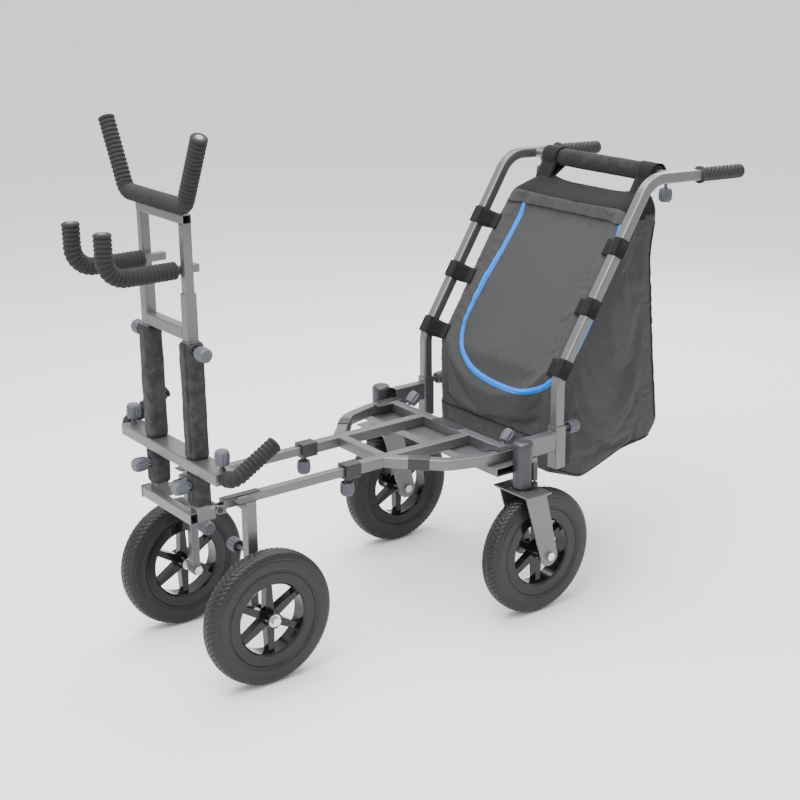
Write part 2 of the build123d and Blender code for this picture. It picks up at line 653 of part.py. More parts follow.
# ---------------------------------------------------------------- handle arms with their sockets
half_socket = POST_TUBE / 2
with BuildPart() as arms:
    for side in SIDES.values():
        y = side * HANDLE_Y
        arm_length = SOCKET_X - half_socket - SIDE_RAIL_END_X
        tube(along_x(SIDE_RAIL_END_X, y, arm_middle_z), DECK_TUBE, ARM_HEIGHT, arm_length)
        rod(along_z(PIVOT_X, side * PIVOT_Y, 0), HOUSING_RADIUS + BORE_GAP, HOUSING_TOP_Z, Mode.SUBTRACT)
        tube(along_z(SOCKET_X, y, SOCKET_BOTTOM_Z), POST_TUBE, POST_TUBE, SOCKET_TOP_Z - SOCKET_BOTTOM_Z)
        floor_z = (SOCKET_BOTTOM_Z, SOCKET_BOTTOM_Z + SOCKET_FLOOR)
        block(span(SOCKET_X, POST_TUBE - 4), span(y, POST_TUBE - 4), floor_z)
        seat_place = (SOCKET_X + half_socket, y, SOCKET_TOP_Z - SOCKET_KNOB_DROP)
        socket_seat = Plane(origin=seat_place, z_dir=(1, 0, 0))
        nut(socket_seat)
        stud_hole(socket_seat, TUBE_WALL + 1)
save(arms.part, "handle_arms")

# ---------------------------------------------------------------- front carriage
half_slide = SLIDE_TUBE / 2
clevis_front = HINGE_X + HINGE_CHEEK_RADIUS - 1
clevis_back = clevis_front + 6
with BuildPart() as front_rails:
    for side in SIDES.values():
        y = side * RAIL_Y
        tube(along_x(clevis_back, y, RAIL_Z), SLIDE_TUBE, SLIDE_TUBE, FRONT_RAIL_END_X - clevis_back)
        low_z = HINGE_Z - HINGE_CHEEK_RADIUS
        block((clevis_front, clevis_back), span(y, SLIDE_TUBE), (low_z, SLIDE_TOP_Z))
        for cheek in (-1, 1):
            cheek_low = HINGE_BARREL_WIDTH / 2 + SMALL_GAP
            cheek_y = (y + cheek * cheek_low, y + cheek * half_slide)
            block((HINGE_X, clevis_back), cheek_y, (low_z, HINGE_Z + HINGE_CHEEK_RADIUS))
            rod(along_y(HINGE_X, min(cheek_y), HINGE_Z), HINGE_CHEEK_RADIUS, half_slide - cheek_low)
        rod(along_y(HINGE_X, y - half_slide, HINGE_Z), HINGE_PIN_RADIUS, SLIDE_TUBE, Mode.SUBTRACT)
save(front_rails.part, "front_rails")

with BuildPart() as fold_fittings:
    for side in SIDES.values():
        y = side * RAIL_Y
        rod(along_y(HINGE_X, y - half_slide, HINGE_Z), HINGE_PIN_RADIUS, SLIDE_TUBE)
        rod(along_y(HINGE_X, y - half_slide - 2, HINGE_Z), HINGE_PIN_RADIUS + 2, 2)
        rod(along_y(HINGE_X, y + half_slide, HINGE_Z), HINGE_PIN_RADIUS + 2, 2)
        plate_z = (SLIDE_TOP_Z, SLIDE_TOP_Z + PLATE_THICK)
        block((clevis_front, FRONT_AXLE_X + 47), span(y, SLIDE_TUBE - 2), plate_z)
        block((FRONT_AXLE_X - 30, FRONT_AXLE_X + 14), span(side * LEG_Y, DECK_TUBE + 2), plate_z)
        for rivet_x in (clevis_front + 6, FRONT_AXLE_X + 40):
            rod(along_z(rivet_x, y, SLIDE_TOP_Z + PLATE_THICK), 3, 0.4)
save(fold_fittings.part, "fold_fittings")

leg_inboard = LEG_Y - half_deck
leg_seats = {
    name: Plane(origin=(FRONT_AXLE_X, side * leg_inboard, LEG_KNOB_Z), x_dir=(1, 0, 0), z_dir=(0, -side, 0))
    for name, side in SIDES.items()
}
with BuildPart() as leg_sleeves:
    for name, side in SIDES.items():
        sleeve_height = SLIDE_TOP_Z - LEG_SLEEVE_BOTTOM_Z
        tube(along_z(FRONT_AXLE_X, side * LEG_Y, LEG_SLEEVE_BOTTOM_Z), DECK_TUBE, DECK_TUBE, sleeve_height)
        stub_y = (side * (RAIL_Y + half_slide), side * leg_inboard)
        block(span(FRONT_AXLE_X, DECK_TUBE), stub_y, span(RAIL_Z, SLIDE_TUBE))
        nut(leg_seats[name])
        stud_hole(leg_seats[name], TUBE_WALL + 1)
save(leg_sleeves.part, "leg_sleeves")

for side_name, side in SIDES.items():
    y = side * LEG_Y
    with BuildPart() as leg:
        leg_bottom = WHEEL_RADIUS + 6
        tube(along_z(FRONT_AXLE_X, y, leg_bottom), SLIDE_TUBE, SLIDE_TUBE, LEG_SLIDE_TOP_Z - leg_bottom)
        rod(along_y(FRONT_AXLE_X, y - half_slide, WHEEL_RADIUS), 13, SLIDE_TUBE)
        rod(along_y(FRONT_AXLE_X, y - half_slide, WHEEL_RADIUS), AXLE_RADIUS, SLIDE_TUBE, Mode.SUBTRACT)
    save(leg.part, f"front_leg_{side_name}")

    hub_middle = side * FRONT_WHEEL_Y
    inner_face = side * (LEG_Y - half_slide)
    outer_face = hub_middle + side * (HUB_LENGTH / 2 + SMALL_GAP)
    pieces = axle_set(FRONT_AXLE_X, hub_middle, min(inner_face, outer_face), max(inner_face, outer_face))
    spacer_ends = (side * (LEG_Y + half_slide), hub_middle - side * (HUB_LENGTH / 2 + SMALL_GAP))
    pieces.append(spacer(FRONT_AXLE_X, min(spacer_ends), max(spacer_ends)))
    save(Compound(children=pieces), f"front_axle_{side_name}")

# ---------------------------------------------------------------- folding post frame
half_post = POST_TUBE / 2
base_middle_z = POST_BASE_TOP_Z - POST_BASE_HEIGHT / 2
base_back_x = POST_BASE_FRONT_X + POST_BASE_DEPTH
arm_back_x = HINGE_X - HINGE_CHEEK_RADIUS - 1
lower_seats = {
    name: Plane(origin=(POST_X - half_post, side * RAIL_Y, POST_KNOB_Z), x_dir=(0, 1, 0), z_dir=(-1, 0, 0))
    for name, side in SIDES.items()
}
mast_seats = {
    name: Plane(
        origin=(POST_X, side * (RAIL_Y + half_post), MAST_KNOB_Z),
        x_dir=(1, 0, 0),
        z_dir=(0, side, 0),
    )
    for name, side in SIDES.items()
}
with BuildPart() as post_frame:
    base_low_y = -RAIL_Y - half_slide
    base_middle_x = POST_BASE_FRONT_X + POST_BASE_DEPTH / 2
    base_length = POST_STUB_Y - base_low_y
    tube(along_y(base_middle_x, base_low_y, base_middle_z), POST_BASE_DEPTH, POST_BASE_HEIGHT, base_length)
    for name, side in SIDES.items():
        y = side * RAIL_Y
        tube(along_x(base_back_x, y, base_middle_z), SLIDE_TUBE, POST_BASE_HEIGHT, arm_back_x - base_back_x)
        barrel_z = span(HINGE_Z, 2 * HINGE_BARREL_RADIUS)
        block((arm_back_x - 8, HINGE_X), span(y, HINGE_BARREL_WIDTH), barrel_z)
        rod(along_y(HINGE_X, y - HINGE_BARREL_WIDTH / 2, HINGE_Z), HINGE_BARREL_RADIUS, HINGE_BARREL_WIDTH)
        pin_bore = HINGE_PIN_RADIUS + BORE_GAP
        barrel_end = along_y(HINGE_X, y - HINGE_BARREL_WIDTH / 2, HINGE_Z)
        rod(barrel_end, pin_bore, HINGE_BARREL_WIDTH, Mode.SUBTRACT)
        tube(along_z(POST_X, y, POST_BASE_TOP_Z), POST_TUBE, POST_TUBE, POST_TOP_Z - POST_BASE_TOP_Z)
        for seat in (lower_seats[name], mast_seats[name]):
            nut(seat)
            stud_hole(seat, TUBE_WALL + 1)
    block(
        (POST_BASE_FRONT_X - 1, base_back_x + 1),
        (POST_STUB_Y, POST_STUB_Y + POST_CAP_THICK),
        span(base_middle_z, POST_BASE_HEIGHT + 2),
    )
save(post_frame.part, "post_frame")

with BuildPart() as pads:
    for name, side in SIDES.items():
        y = side * RAIL_Y
        hole = POST_TUBE + 2 * SMALL_GAP
        for low, high in ((PAD_LOW_BOTTOM_Z, PAD_LOW_TOP_Z), (PAD_HIGH_BOTTOM_Z, PAD_HIGH_TOP_Z)):
            with BuildSketch(along_z(POST_X, y, low)):
                RectangleRounded(PAD_SIZE, PAD_SIZE, PAD_CORNER)
                Rectangle(hole, hole, mode=Mode.SUBTRACT)
            extrude(amount=high - low)
        block(
            (POST_X - PAD_SIZE / 2 - 1, POST_X - half_post - 0.1),
            span(y + half_post - 3, 1.6),
            (PAD_LOW_BOTTOM_Z, PAD_HIGH_TOP_Z),
            Mode.SUBTRACT,
        )
        for seat in (lower_seats[name], mast_seats[name]):
            rod(seat, NUT_RADIUS + 2, PAD_SIZE / 2, Mode.SUBTRACT)
save(pads.part, "post_pads")

bar_height = DECK_TUBE
bar_top = LUGGAGE_BAR_Z + bar_height / 2
horn_inner_y = LUGGAGE_BAR_HALF - HORN_INSIDE
horn_seats = {
    name: Plane(origin=(POST_X, side * LUGGAGE_KNOB_Y, bar_top), z_dir=(0, 0, 1))
    for name, side in SIDES.items()
}
with BuildPart() as luggage_bar:
    bar_plane = along_y(POST_X, -LUGGAGE_BAR_HALF, LUGGAGE_BAR_Z)
    tube(bar_plane, LUGGAGE_BAR_X_SIZE, bar_height, 2 * LUGGAGE_BAR_HALF)
    for name, side in SIDES.items():
        guide_y = (side * (LUGGAGE_KNOB_Y - 22), side * LUGGAGE_BAR_HALF)
        bore = SLIDE_TUBE + 2 * SMALL_GAP
        block(span(POST_X, LUGGAGE_BAR_X_SIZE - 4), guide_y, span(LUGGAGE_BAR_Z, bar_height - 4))
        block(span(POST_X, bore), guide_y, span(LUGGAGE_BAR_Z, bore), Mode.SUBTRACT)
        block(span(POST_X, POST_TUBE), span(side * RAIL_Y, POST_TUBE), span(LUGGAGE_BAR_Z, 60), Mode.SUBTRACT)
        nut(horn_seats[name])
        stud_hole(horn_seats[name], TUBE_WALL + 1)
save(luggage_bar.part, "luggage_crossbar")

for side_name, side in SIDES.items():
    foam_start = side * (LUGGAGE_BAR_HALF + 1)
    horn_tip = (HORN_TIP_X, side * HORN_CORNER_Y, HORN_TIP_Z)
    horn_corner = (POST_X, side * HORN_CORNER_Y, LUGGAGE_BAR_Z)
    with BuildPart() as horn:
        tube_start = min(side * horn_inner_y, foam_start)
        tube(along_y(POST_X, tube_start, LUGGAGE_BAR_Z), SLIDE_TUBE, SLIDE_TUBE, HORN_INSIDE + 1)
        cap_low = min(foam_start - side * 6, foam_start)
        rod(along_y(POST_X, cap_low, LUGGAGE_BAR_Z), SLIDE_TUBE / 2 - 0.5, 6)
        horn_route = [(POST_X, foam_start, LUGGAGE_BAR_Z), horn_corner, horn_tip]
        bent_sleeve(horn_route, HORN_BEND, (1, 0, 0), HORN_ROD_RADIUS, 0)
    save(horn.part, f"luggage_horn_{side_name}")
    with BuildPart() as horn_foam:
        start = (POST_X, foam_start + side * 0.5, LUGGAGE_BAR_Z)
        foam_route = [start, horn_corner, horn_tip]
        bent_sleeve(foam_route, HORN_BEND, (1, 0, 0), HORN_FOAM_RADIUS, HORN_ROD_RADIUS + SMALL_GAP)
    save(horn_foam.part, f"horn_foam_{side_name}")

# ---------------------------------------------------------------- sliding mast with hooks and rod rest
with BuildPart() as mast:
    for side in SIDES.values():
        y = side * RAIL_Y
        tube(along_z(POST_X, y, MAST_BOTTOM_Z), DECK_TUBE, DECK_TUBE, MAST_STEP_Z - MAST_BOTTOM_Z)
    tube(along_y(POST_X, -cross_front_half, MAST_CROSS_Z), DECK_TUBE, DECK_TUBE, 2 * cross_front_half)
save(mast.part, "mast_frame")

rest_points = [
    (REST_X, -REST_TIP_Y, REST_TIP_Z),
    (REST_X, -REST_BEND_Y, REST_Z),
    (REST_X, REST_BEND_Y, REST_Z),
    (REST_X, REST_TIP_Y, REST_TIP_Z),
]
top_bar_z = TOP_FRAME_TOP_Z - half_slide
top_leg_bottom = MAST_STEP_Z - TOP_FRAME_INSIDE
with BuildPart() as top_frame:
    for side in SIDES.values():
        y = side * RAIL_Y
        leg_length = top_bar_z - half_slide - top_leg_bottom
        tube(along_z(POST_X, y, top_leg_bottom), SLIDE_TUBE, SLIDE_TUBE, leg_length)
        block(span(POST_X, DECK_TUBE - 2), span(y, DECK_TUBE - 2), (MAST_STEP_Z, MAST_STEP_Z + 1))
        hook_y = side * HOOK_Y
        hook_corner = (HOOK_REACH_X, hook_y, HOOK_Z)
        hook_route = [(POST_X + 12, hook_y, HOOK_Z), hook_corner, (HOOK_REACH_X, hook_y, HOOK_TIP_Z)]
        bent_sleeve(hook_route, HOOK_BEND, (0, 1, 0), HOOK_TUBE_RADIUS, 0)
        hook_size = 2 * HOOK_TUBE_RADIUS
        block((POST_X - 11, POST_X + 34), span(hook_y, hook_size), span(HOOK_Z, hook_size))
    bar_low = -RAIL_Y - half_slide
    tube(along_y(POST_X, bar_low, top_bar_z), SLIDE_TUBE, SLIDE_TUBE, -2 * bar_low)
    bent_sleeve(rest_points, REST_BEND, (1, 0, 0), HOOK_TUBE_RADIUS, 0)
    block((REST_X - 4, POST_X - 2), (-9, 9), (TOP_FRAME_TOP_Z - 0.5, REST_Z))
save(top_frame.part, "top_frame")

with BuildPart() as rest_foams:
    bent_sleeve(rest_points, REST_BEND, (1, 0, 0), REST_FOAM_RADIUS, HOOK_TUBE_RADIUS + SMALL_GAP)
    block((REST_X - 4.5, POST_X), (-9.5, 9.5), (TOP_FRAME_TOP_Z - 5, REST_Z + 1), Mode.SUBTRACT)
    for side in SIDES.values():
        hook_y = side * HOOK_Y
        foam_start_x = POST_X - half_post - 0.5
        route = [
            (foam_start_x, hook_y, HOOK_Z),
            (HOOK_REACH_X, hook_y, HOOK_Z),
            (HOOK_REACH_X, hook_y, HOOK_TIP_Z - 0.5),
        ]
        bent_sleeve(route, HOOK_BEND, (0, 1, 0), HOOK_FOAM_RADIUS, HOOK_TUBE_RADIUS + SMALL_GAP)
save(rest_foams.part, "rod_rest_foams")

# ---------------------------------------------------------------- push handle
slope = (HANDLE_HEAD_X - UPRIGHT_X) / (HANDLE_HEAD_Z - HANDLE_KINK_Z)
slope_angle = degrees(atan2(HANDLE_HEAD_X - UPRIGHT_X, HANDLE_HEAD_Z - HANDLE_KINK_Z))
droop = radians(HANDLE_DROOP)


def handle_z(x):
    """Height of the handle's upper run at x."""
    return HANDLE_HEAD_Z - (x - HANDLE_HEAD_X) * sin(droop) / cos(droop)


def upright_points(y):
    """Centre line of one upright, from inside its socket to its grip."""
    return [
        (UPRIGHT_X, y, HANDLE_BOTTOM_Z),
        (UPRIGHT_X, y, HANDLE_KINK_Z),
        (HANDLE_HEAD_X, y, HANDLE_HEAD_Z),
        (GRIP_START_X, y, handle_z(GRIP_START_X)),
    ]


bar_z = handle_z(BAR_X)
half_handle = HANDLE_TUBE / 2
spigot_inner = HANDLE_Y - half_handle
with BuildPart() as uprights:
    for side in SIDES.values():
        y = side * HANDLE_Y
        bent_tube(upright_points(y), HANDLE_BEND, (0, 1, 0), HANDLE_TUBE, HANDLE_TUBE, corner=5)
        grip_plane = Plane(
            origin=(GRIP_START_X, y, handle_z(GRIP_START_X)),
            x_dir=(0, 1, 0),
            z_dir=(cos(droop), 0, -sin(droop)),
        )
        rod(grip_plane.offset(-8), GRIP_SPIGOT_RADIUS, GRIP_LENGTH + 3)
        spigot_low = min(side * spigot_inner, side * (spigot_inner - BAR_SPIGOT_LENGTH))
        rod(along_y(BAR_X, spigot_low, bar_z), BAR_SPIGOT_RADIUS, BAR_SPIGOT_LENGTH)
save(uprights.part, "handle_uprights")

with BuildPart() as grips:
    for side in SIDES.values():
        grip_plane = Plane(
            origin=(GRIP_START_X, side * HANDLE_Y, handle_z(GRIP_START_X)),
            x_dir=(0, 1, 0),
            z_dir=(cos(droop), 0, -sin(droop)),
        )
        rod(grip_plane.offset(0.2), GRIP_RADIUS, GRIP_LENGTH)
        rod(grip_plane.offset(0.2), GRIP_FLANGE_RADIUS, GRIP_FLANGE_LENGTH)
        rod(grip_plane, GRIP_SPIGOT_RADIUS + BORE_GAP, GRIP_LENGTH - GRIP_END_WALL, Mode.SUBTRACT)
save(grips.part, "handle_grips")

bar_seats = {
    name: Plane(origin=(BAR_X, side * BAR_KNOB_Y, bar_z - BAR_TUBE_RADIUS + 0.5), z_dir=(0, 0, -1))
    for name, side in SIDES.items()
}
with BuildPart() as handle_bar:
    rod(along_y(BAR_X, -spigot_inner, bar_z), BAR_TUBE_RADIUS, 2 * spigot_inner)
    rod(along_y(BAR_X, -spigot_inner, bar_z), BAR_SPIGOT_RADIUS + SMALL_GAP, 2 * spigot_inner, Mode.SUBTRACT)
    for seat in bar_seats.values():
        nut(seat)
        stud_hole(seat.offset(2), 7)
save(handle_bar.part, "handle_bar")

with BuildPart() as bar_pad:
    rod(along_y(BAR_X, -BAR_PAD_HALF, bar_z), BAR_PAD_RADIUS, 2 * BAR_PAD_HALF)
    rod(along_y(BAR_X, -BAR_PAD_HALF, bar_z), BAR_TUBE_RADIUS + SMALL_GAP, 2 * BAR_PAD_HALF, Mode.SUBTRACT)
save(bar_pad.part, "handle_bar_pad")

# ---------------------------------------------------------------- bag and its straps
off_x = BAG_STANDOFF * cos(radians(slope_angle))
off_z = BAG_STANDOFF * sin(radians(slope_angle))
bag_front_x = UPRIGHT_X + BAG_STANDOFF


def bag_front_at(z):
    """X of the bag's sloping front panel at a height."""
    return UPRIGHT_X + off_x + (z + off_z - HANDLE_KINK_Z) * slope


bag_kink_z = HANDLE_KINK_Z - off_z + (bag_front_x - UPRIGHT_X - off_x) / slope
with BuildPart() as bag:
    with BuildSketch(along_y(0, -BAG_HALF_WIDTH, 0)):
        with BuildLine():
            Polyline(
                (bag_front_x, -BAG_BOTTOM_Z),
                (bag_front_x, -bag_kink_z),
                (bag_front_at(BAG_TOP_Z), -BAG_TOP_Z),
                (BAG_BACK_TOP_X, -BAG_TOP_Z + 5),
                (BAG_BACK_X, -BAG_BACK_Z),
                (BAG_BACK_LOW_X, -BAG_BACK_LOW_Z),
                (BAG_KEEL_X, -BAG_KEEL_Z),
                close=True,
            )
        make_face()
    extrude(amount=2 * BAG_HALF_WIDTH)
    fillet(bag.edges().filter_by(Axis.Y), 14)
    fillet(bag.faces().sort_by(Axis.Y)[0].edges(), 12)
    fillet(bag.faces().sort_by(Axis.Y)[-1].edges(), 12)
save(bag.part, "bag")


def upright_strap(side, z):
    """One strap: a loop round the upright and a tab that lies on the bag."""
    y = side * HANDLE_Y
    loop_size = HANDLE_TUBE + 2 * SMALL_GAP + 2 * STRAP_THICK
    centre = (UPRIGHT_X + (z - HANDLE_KINK_Z) * slope, y, z)
    tilt = (0, slope_angle, 0)
    tab_middle = half_handle + SMALL_GAP + STRAP_THICK / 2
    with BuildPart() as strap:
        loop_route = upright_points(y)
        bent_tube(loop_route, HANDLE_BEND, (0, 1, 0), loop_size, loop_size, STRAP_THICK, 5 + STRAP_THICK)
        with Locations(Location(centre, tilt)):
            Box(80, 80, STRAP_LENGTH, mode=Mode.INTERSECT)
        tab_centre = (
            centre[0] + tab_middle * cos(radians(slope_angle)),
            side * (HANDLE_Y - loop_size / 2 + STRAP_THICK / 2 - TAB_WIDTH / 2),
            centre[2] - tab_middle * sin(radians(slope_angle)),
        )
        with Locations(Location(tab_centre, tilt)):
            Box(STRAP_THICK, TAB_WIDTH, STRAP_LENGTH)
    return strap.part


def bar_strap(side):
    """A strap that loops round the padded bar and is sewn to the bag's top."""
    loop = BAR_PAD_RADIUS + SMALL_GAP
    low_y = side * BAR_STRAP_Y - BAR_STRAP_WIDTH / 2
    top_x = (bag_front_at(BAG_TOP_Z) + BAG_BACK_TOP_X) / 2
    with BuildPart() as strap:
        with BuildSketch(along_y(BAR_X, low_y, bar_z)):
            Circle(loop + STRAP_THICK)
            Circle(loop, mode=Mode.SUBTRACT)
        extrude(amount=BAR_STRAP_WIDTH)
        with BuildSketch(along_y(0, low_y, 0)):
            with BuildLine():
                Polyline(
                    (BAR_X - loop - STRAP_THICK, -bar_z),
                    (BAR_X - loop, -bar_z),
                    (BAR_X - loop, -bar_z + 8),
                    (top_x + 1.6, -BAG_TOP_Z - 1),
                    (top_x - 1.6, -BAG_TOP_Z - 1),
                    close=True,
                )
            make_face()
        extrude(amount=BAR_STRAP_WIDTH)
    return strap.part


straps = [upright_strap(side, z) for side in SIDES.values() for z in STRAP_HEIGHTS]
straps += [bar_strap(side) for side in SIDES.values()]
save(Compound(children=straps), "bag_straps")

# ---------------------------------------------------------------- clamp knobs
for side_name, side in SIDES.items():
    collar_seat = Plane(origin=(collar_knob_x, side * RAIL_Y, RAIL_Z - collar_size / 2), z_dir=(0, 0, -1))
    socket_place = (SOCKET_X + half_socket, side * HANDLE_Y, SOCKET_TOP_Z - SOCKET_KNOB_DROP)
    socket_seat = Plane(origin=socket_place, z_dir=(1, 0, 0))
    collar_depth = collar_size / 2 - half_slide - SMALL_GAP
    knob_piece(collar_seat, collar_depth, f"rail_knob_{side_name}", RAIL_KNOB_SHOW)
    knob_piece(socket_seat, TUBE_WALL, f"socket_knob_{side_name}")
    knob_piece(leg_seats[side_name], TUBE_WALL, f"leg_knob_{side_name}", LEG_KNOB_SHOW)
    knob_piece(lower_seats[side_name], TUBE_WALL, f"post_knob_{side_name}", POST_KNOB_SHOW)
    knob_piece(mast_seats[side_name], TUBE_WALL, f"mast_knob_{side_name}", MAST_KNOB_SHOW)
    knob_piece(horn_seats[side_name], TUBE_WALL, f"horn_knob_{side_name}", HORN_KNOB_SHOW)
    knob_piece(bar_seats[side_name], 2.0, f"bar_knob_{side_name}", BAR_KNOB_SHOW)
    knob_piece(end_knob_seats[side_name], END_STUD_DEPTH, f"arm_knob_{side_name}", END_KNOB_SHOW)
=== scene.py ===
import math

import bpy
from mathutils import Matrix, Vector, noise
from mathutils.bvhtree import BVHTree


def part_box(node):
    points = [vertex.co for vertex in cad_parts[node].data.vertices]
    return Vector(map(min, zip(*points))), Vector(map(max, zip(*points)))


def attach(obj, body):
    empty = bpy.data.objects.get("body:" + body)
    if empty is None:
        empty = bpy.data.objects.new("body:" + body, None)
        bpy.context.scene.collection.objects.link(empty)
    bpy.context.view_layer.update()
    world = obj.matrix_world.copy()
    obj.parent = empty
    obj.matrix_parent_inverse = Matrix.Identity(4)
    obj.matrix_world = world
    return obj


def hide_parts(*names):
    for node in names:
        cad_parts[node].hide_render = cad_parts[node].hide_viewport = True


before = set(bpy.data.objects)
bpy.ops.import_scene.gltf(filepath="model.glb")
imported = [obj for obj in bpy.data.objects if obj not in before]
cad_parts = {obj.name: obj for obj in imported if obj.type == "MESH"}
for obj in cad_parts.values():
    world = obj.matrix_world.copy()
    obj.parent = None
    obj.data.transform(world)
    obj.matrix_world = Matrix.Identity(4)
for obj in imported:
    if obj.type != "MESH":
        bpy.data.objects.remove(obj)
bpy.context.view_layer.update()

# ---------------------------------------------------------------- driving sizes, in metres
FOAM_PITCH = 0.0092
FOAM_RIB_DEPTH = 0.0036
FOAM_BORE = 0.0083
HOOK_BEND = 0.045
REST_BEND = 0.030
HORN_BEND = 0.022
HORN_OUT_Y = 0.228
HORN_TIP_Z = 0.548
REST_BEND_Y = 0.120
REST_BEND_Z = 1.024

TYRE_PITCHES = 72
TREAD_DEPTH = 0.0024

PAD_CORNER = 0.011
PAD_INNER_HALF = 0.0153
PAD_END_ROUND = 0.006
PAD_END_SOFT = 0.0035
PAD_SLIT_Y = 0.012
PAD_SLIT_DEPTH = 0.0045
PAD_DIMPLE_DEPTH = 0.0052
PAD_DIMPLE_RADIUS = 0.0115
LOWER_DIMPLE_Z = 0.444
UPPER_DIMPLE_Z = 0.730
PAD_SLIT = 0.0022
PAD_STEP = 0.003

BAR_BORE = 0.0113
BAR_AROUND = 56
GRIP_FLANGE_RADIUS = 0.0205
GRIP_RADIUS = 0.0163
GRIP_RIB_DEPTH = 0.0016
GRIP_STARTS = 9
GRIP_LEAD = 0.20
HANDLE_DROOP = math.radians(2.4)

STRAP_THICK = 0.0017
STRAP_LENGTH = 0.044
STRAP_HEIGHTS = (0.561, 0.691, 0.820)
STRAP_TAB = 0.043
UPRIGHT_TUBE = 0.025
BAR_STRAP_WIDTH = 0.054
BAR_STRAP_Y = 0.165

BAG_SEAM_SETBACK = 0.026      # front panel's edge to the side seam behind it
BAG_HEM = 0.045               # stitched hem below the bag's front top edge
BAG_TOP_CORNER = 0.048
BAG_LOW_SEAM_Z = 0.370
BAG_VOXEL = 0.008
BAG_SIM_FRAMES = 20
BAG_MAX_MOVE = 0.016
BAG_SIDE_LIMIT = 0.230
ZIP_TAPE = 0.015
ZIP_COIL = 0.0017

FLOOR_HALF = 40
SKY_STRENGTH = 1.35
CAMERA_LENS_MM = 68.41
CAMERA_SENSOR_MM = 36


# ---------------------------------------------------------------- mesh helpers
def new_piece(name, points, faces, smooth=True):
    """A mesh object made from points and faces."""
    mesh = bpy.data.meshes.new(name)
    mesh.from_pydata([tuple(p) for p in points], [], faces)
    mesh.validate()
    mesh.polygons.foreach_set("use_smooth", [smooth] * len(mesh.polygons))
    mesh.update()
    piece = bpy.data.objects.new(name, mesh)
    bpy.context.scene.collection.objects.link(piece)
    return piece


def finish_piece(piece, body, slot, materials, *nodes):
    """Gives a piece its materials and its body, and hides the CAD nodes it stands for. The slot argument is
    not used.
    """
    for material in materials:
        piece.data.materials.append(material)
    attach(piece, body)
    if nodes:
        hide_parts(*nodes)
    return piece


def evenly(points, step):
    """The same line with its points a steady distance apart."""
    lengths = [0.0]
    for first, second in zip(points, points[1:]):
        lengths.append(lengths[-1] + (second - first).length)
    count = max(2, round(lengths[-1] / step))
    result = []
    place = 0
    for i in range(count + 1):
        target = lengths[-1] * i / count
        while place < len(points) - 2 and lengths[place + 1] < target:
            place += 1
        run = max(lengths[place + 1] - lengths[place], 1e-9)
        result.append(points[place].lerp(points[place + 1], (target - lengths[place]) / run))
    return result


def bent_line(corners, bend, step):
    """Centre line of a bent tube: straight runs joined by arcs."""
    corners = [Vector(p) for p in corners]
    line = [corners[0]]
    for before, corner, after in zip(corners, corners[1:], corners[2:]):
        into = (corner - before).normalized()
        out = (after - corner).normalized()
        turn = into.angle(out)
        centre = corner + (out - into).normalized() * (bend / math.cos(turn / 2))
        start = corner - into * (bend * math.tan(turn / 2)) - centre
        axis = into.cross(out).normalized()
        for i in range(25):
            line.append(centre + Matrix.Rotation(turn * i / 24, 3, axis) @ start)
    line.append(corners[-1])
    return evenly(line, step)


def smooth_line(corners, step):
    """A soft line through a few points (Catmull-Rom)."""
    knots = [Vector(p) for p in corners]
    knots = [2 * knots[0] - knots[1]] + knots + [2 * knots[-1] - knots[-2]]
    line = []
    for a, b, c, d in zip(knots, knots[1:], knots[2:], knots[3:]):
        for i in range(12):
            t = i / 12
            line.append(0.5 * (2 * b + (c - a) * t + (2 * a - 5 * b + 4 * c - d) * t * t
                               + (3 * b - a - 3 * c + d) * t ** 3))
    line.append(knots[-2])
    return evenly(line, step)


def directions(line):
    """The line's direction at each of its points."""
    ends = [line[0]] + line[:-1], line[1:] + [line[-1]]
    return [(b - a).normalized() for a, b in zip(*ends)]


def skin(rings, closed_ends=True, loop=False):
    """Faces that join equal rings of points, which are numbered ring after ring."""
    around = len(rings[0])
    faces = []
    count = len(rings) if loop else len(rings) - 1
    for i in range(count):
        a, b = i * around, ((i + 1) % len(rings)) * around
        for j in range(around):
            k = (j + 1) % around
            faces.append((a + j, a + k, b + k, b + j))
    if closed_ends and not loop:
        faces.append(tuple(reversed(range(around))))
        faces.append(tuple(range((len(rings) - 1) * around, len(rings) * around)))
    return faces


def joined(parts):
    """One list of points and one of faces from several (rings, loop) skins."""
    points, faces = [], []
    for rings, loop in parts:
        start = len(points)
        points += [p for ring in rings for p in ring]
        faces += [tuple(start + i for i in face) for face in skin(rings, True, loop)]
    return points, faces


def circle_ring(centre, direction, side, radius, around):
    """A ring of points about a centre, square to a direction."""
    up = direction.cross(side)
    angles = [2 * math.pi * j / around for j in range(around)]
    return [centre + radius * (math.cos(a) * side + math.sin(a) * up) for a in angles]


def tube_rings(line, radius, around=10):
    """Rings of a plain round tube along a line that may twist."""
    heads = directions(line)
    side = heads[0].orthogonal().normalized()
    rings = []
    for place, head in zip(line, heads):
        side = (side - head * side.dot(head)).normalized()
        rings.append(circle_ring(place, head, side, radius, around))
    return rings


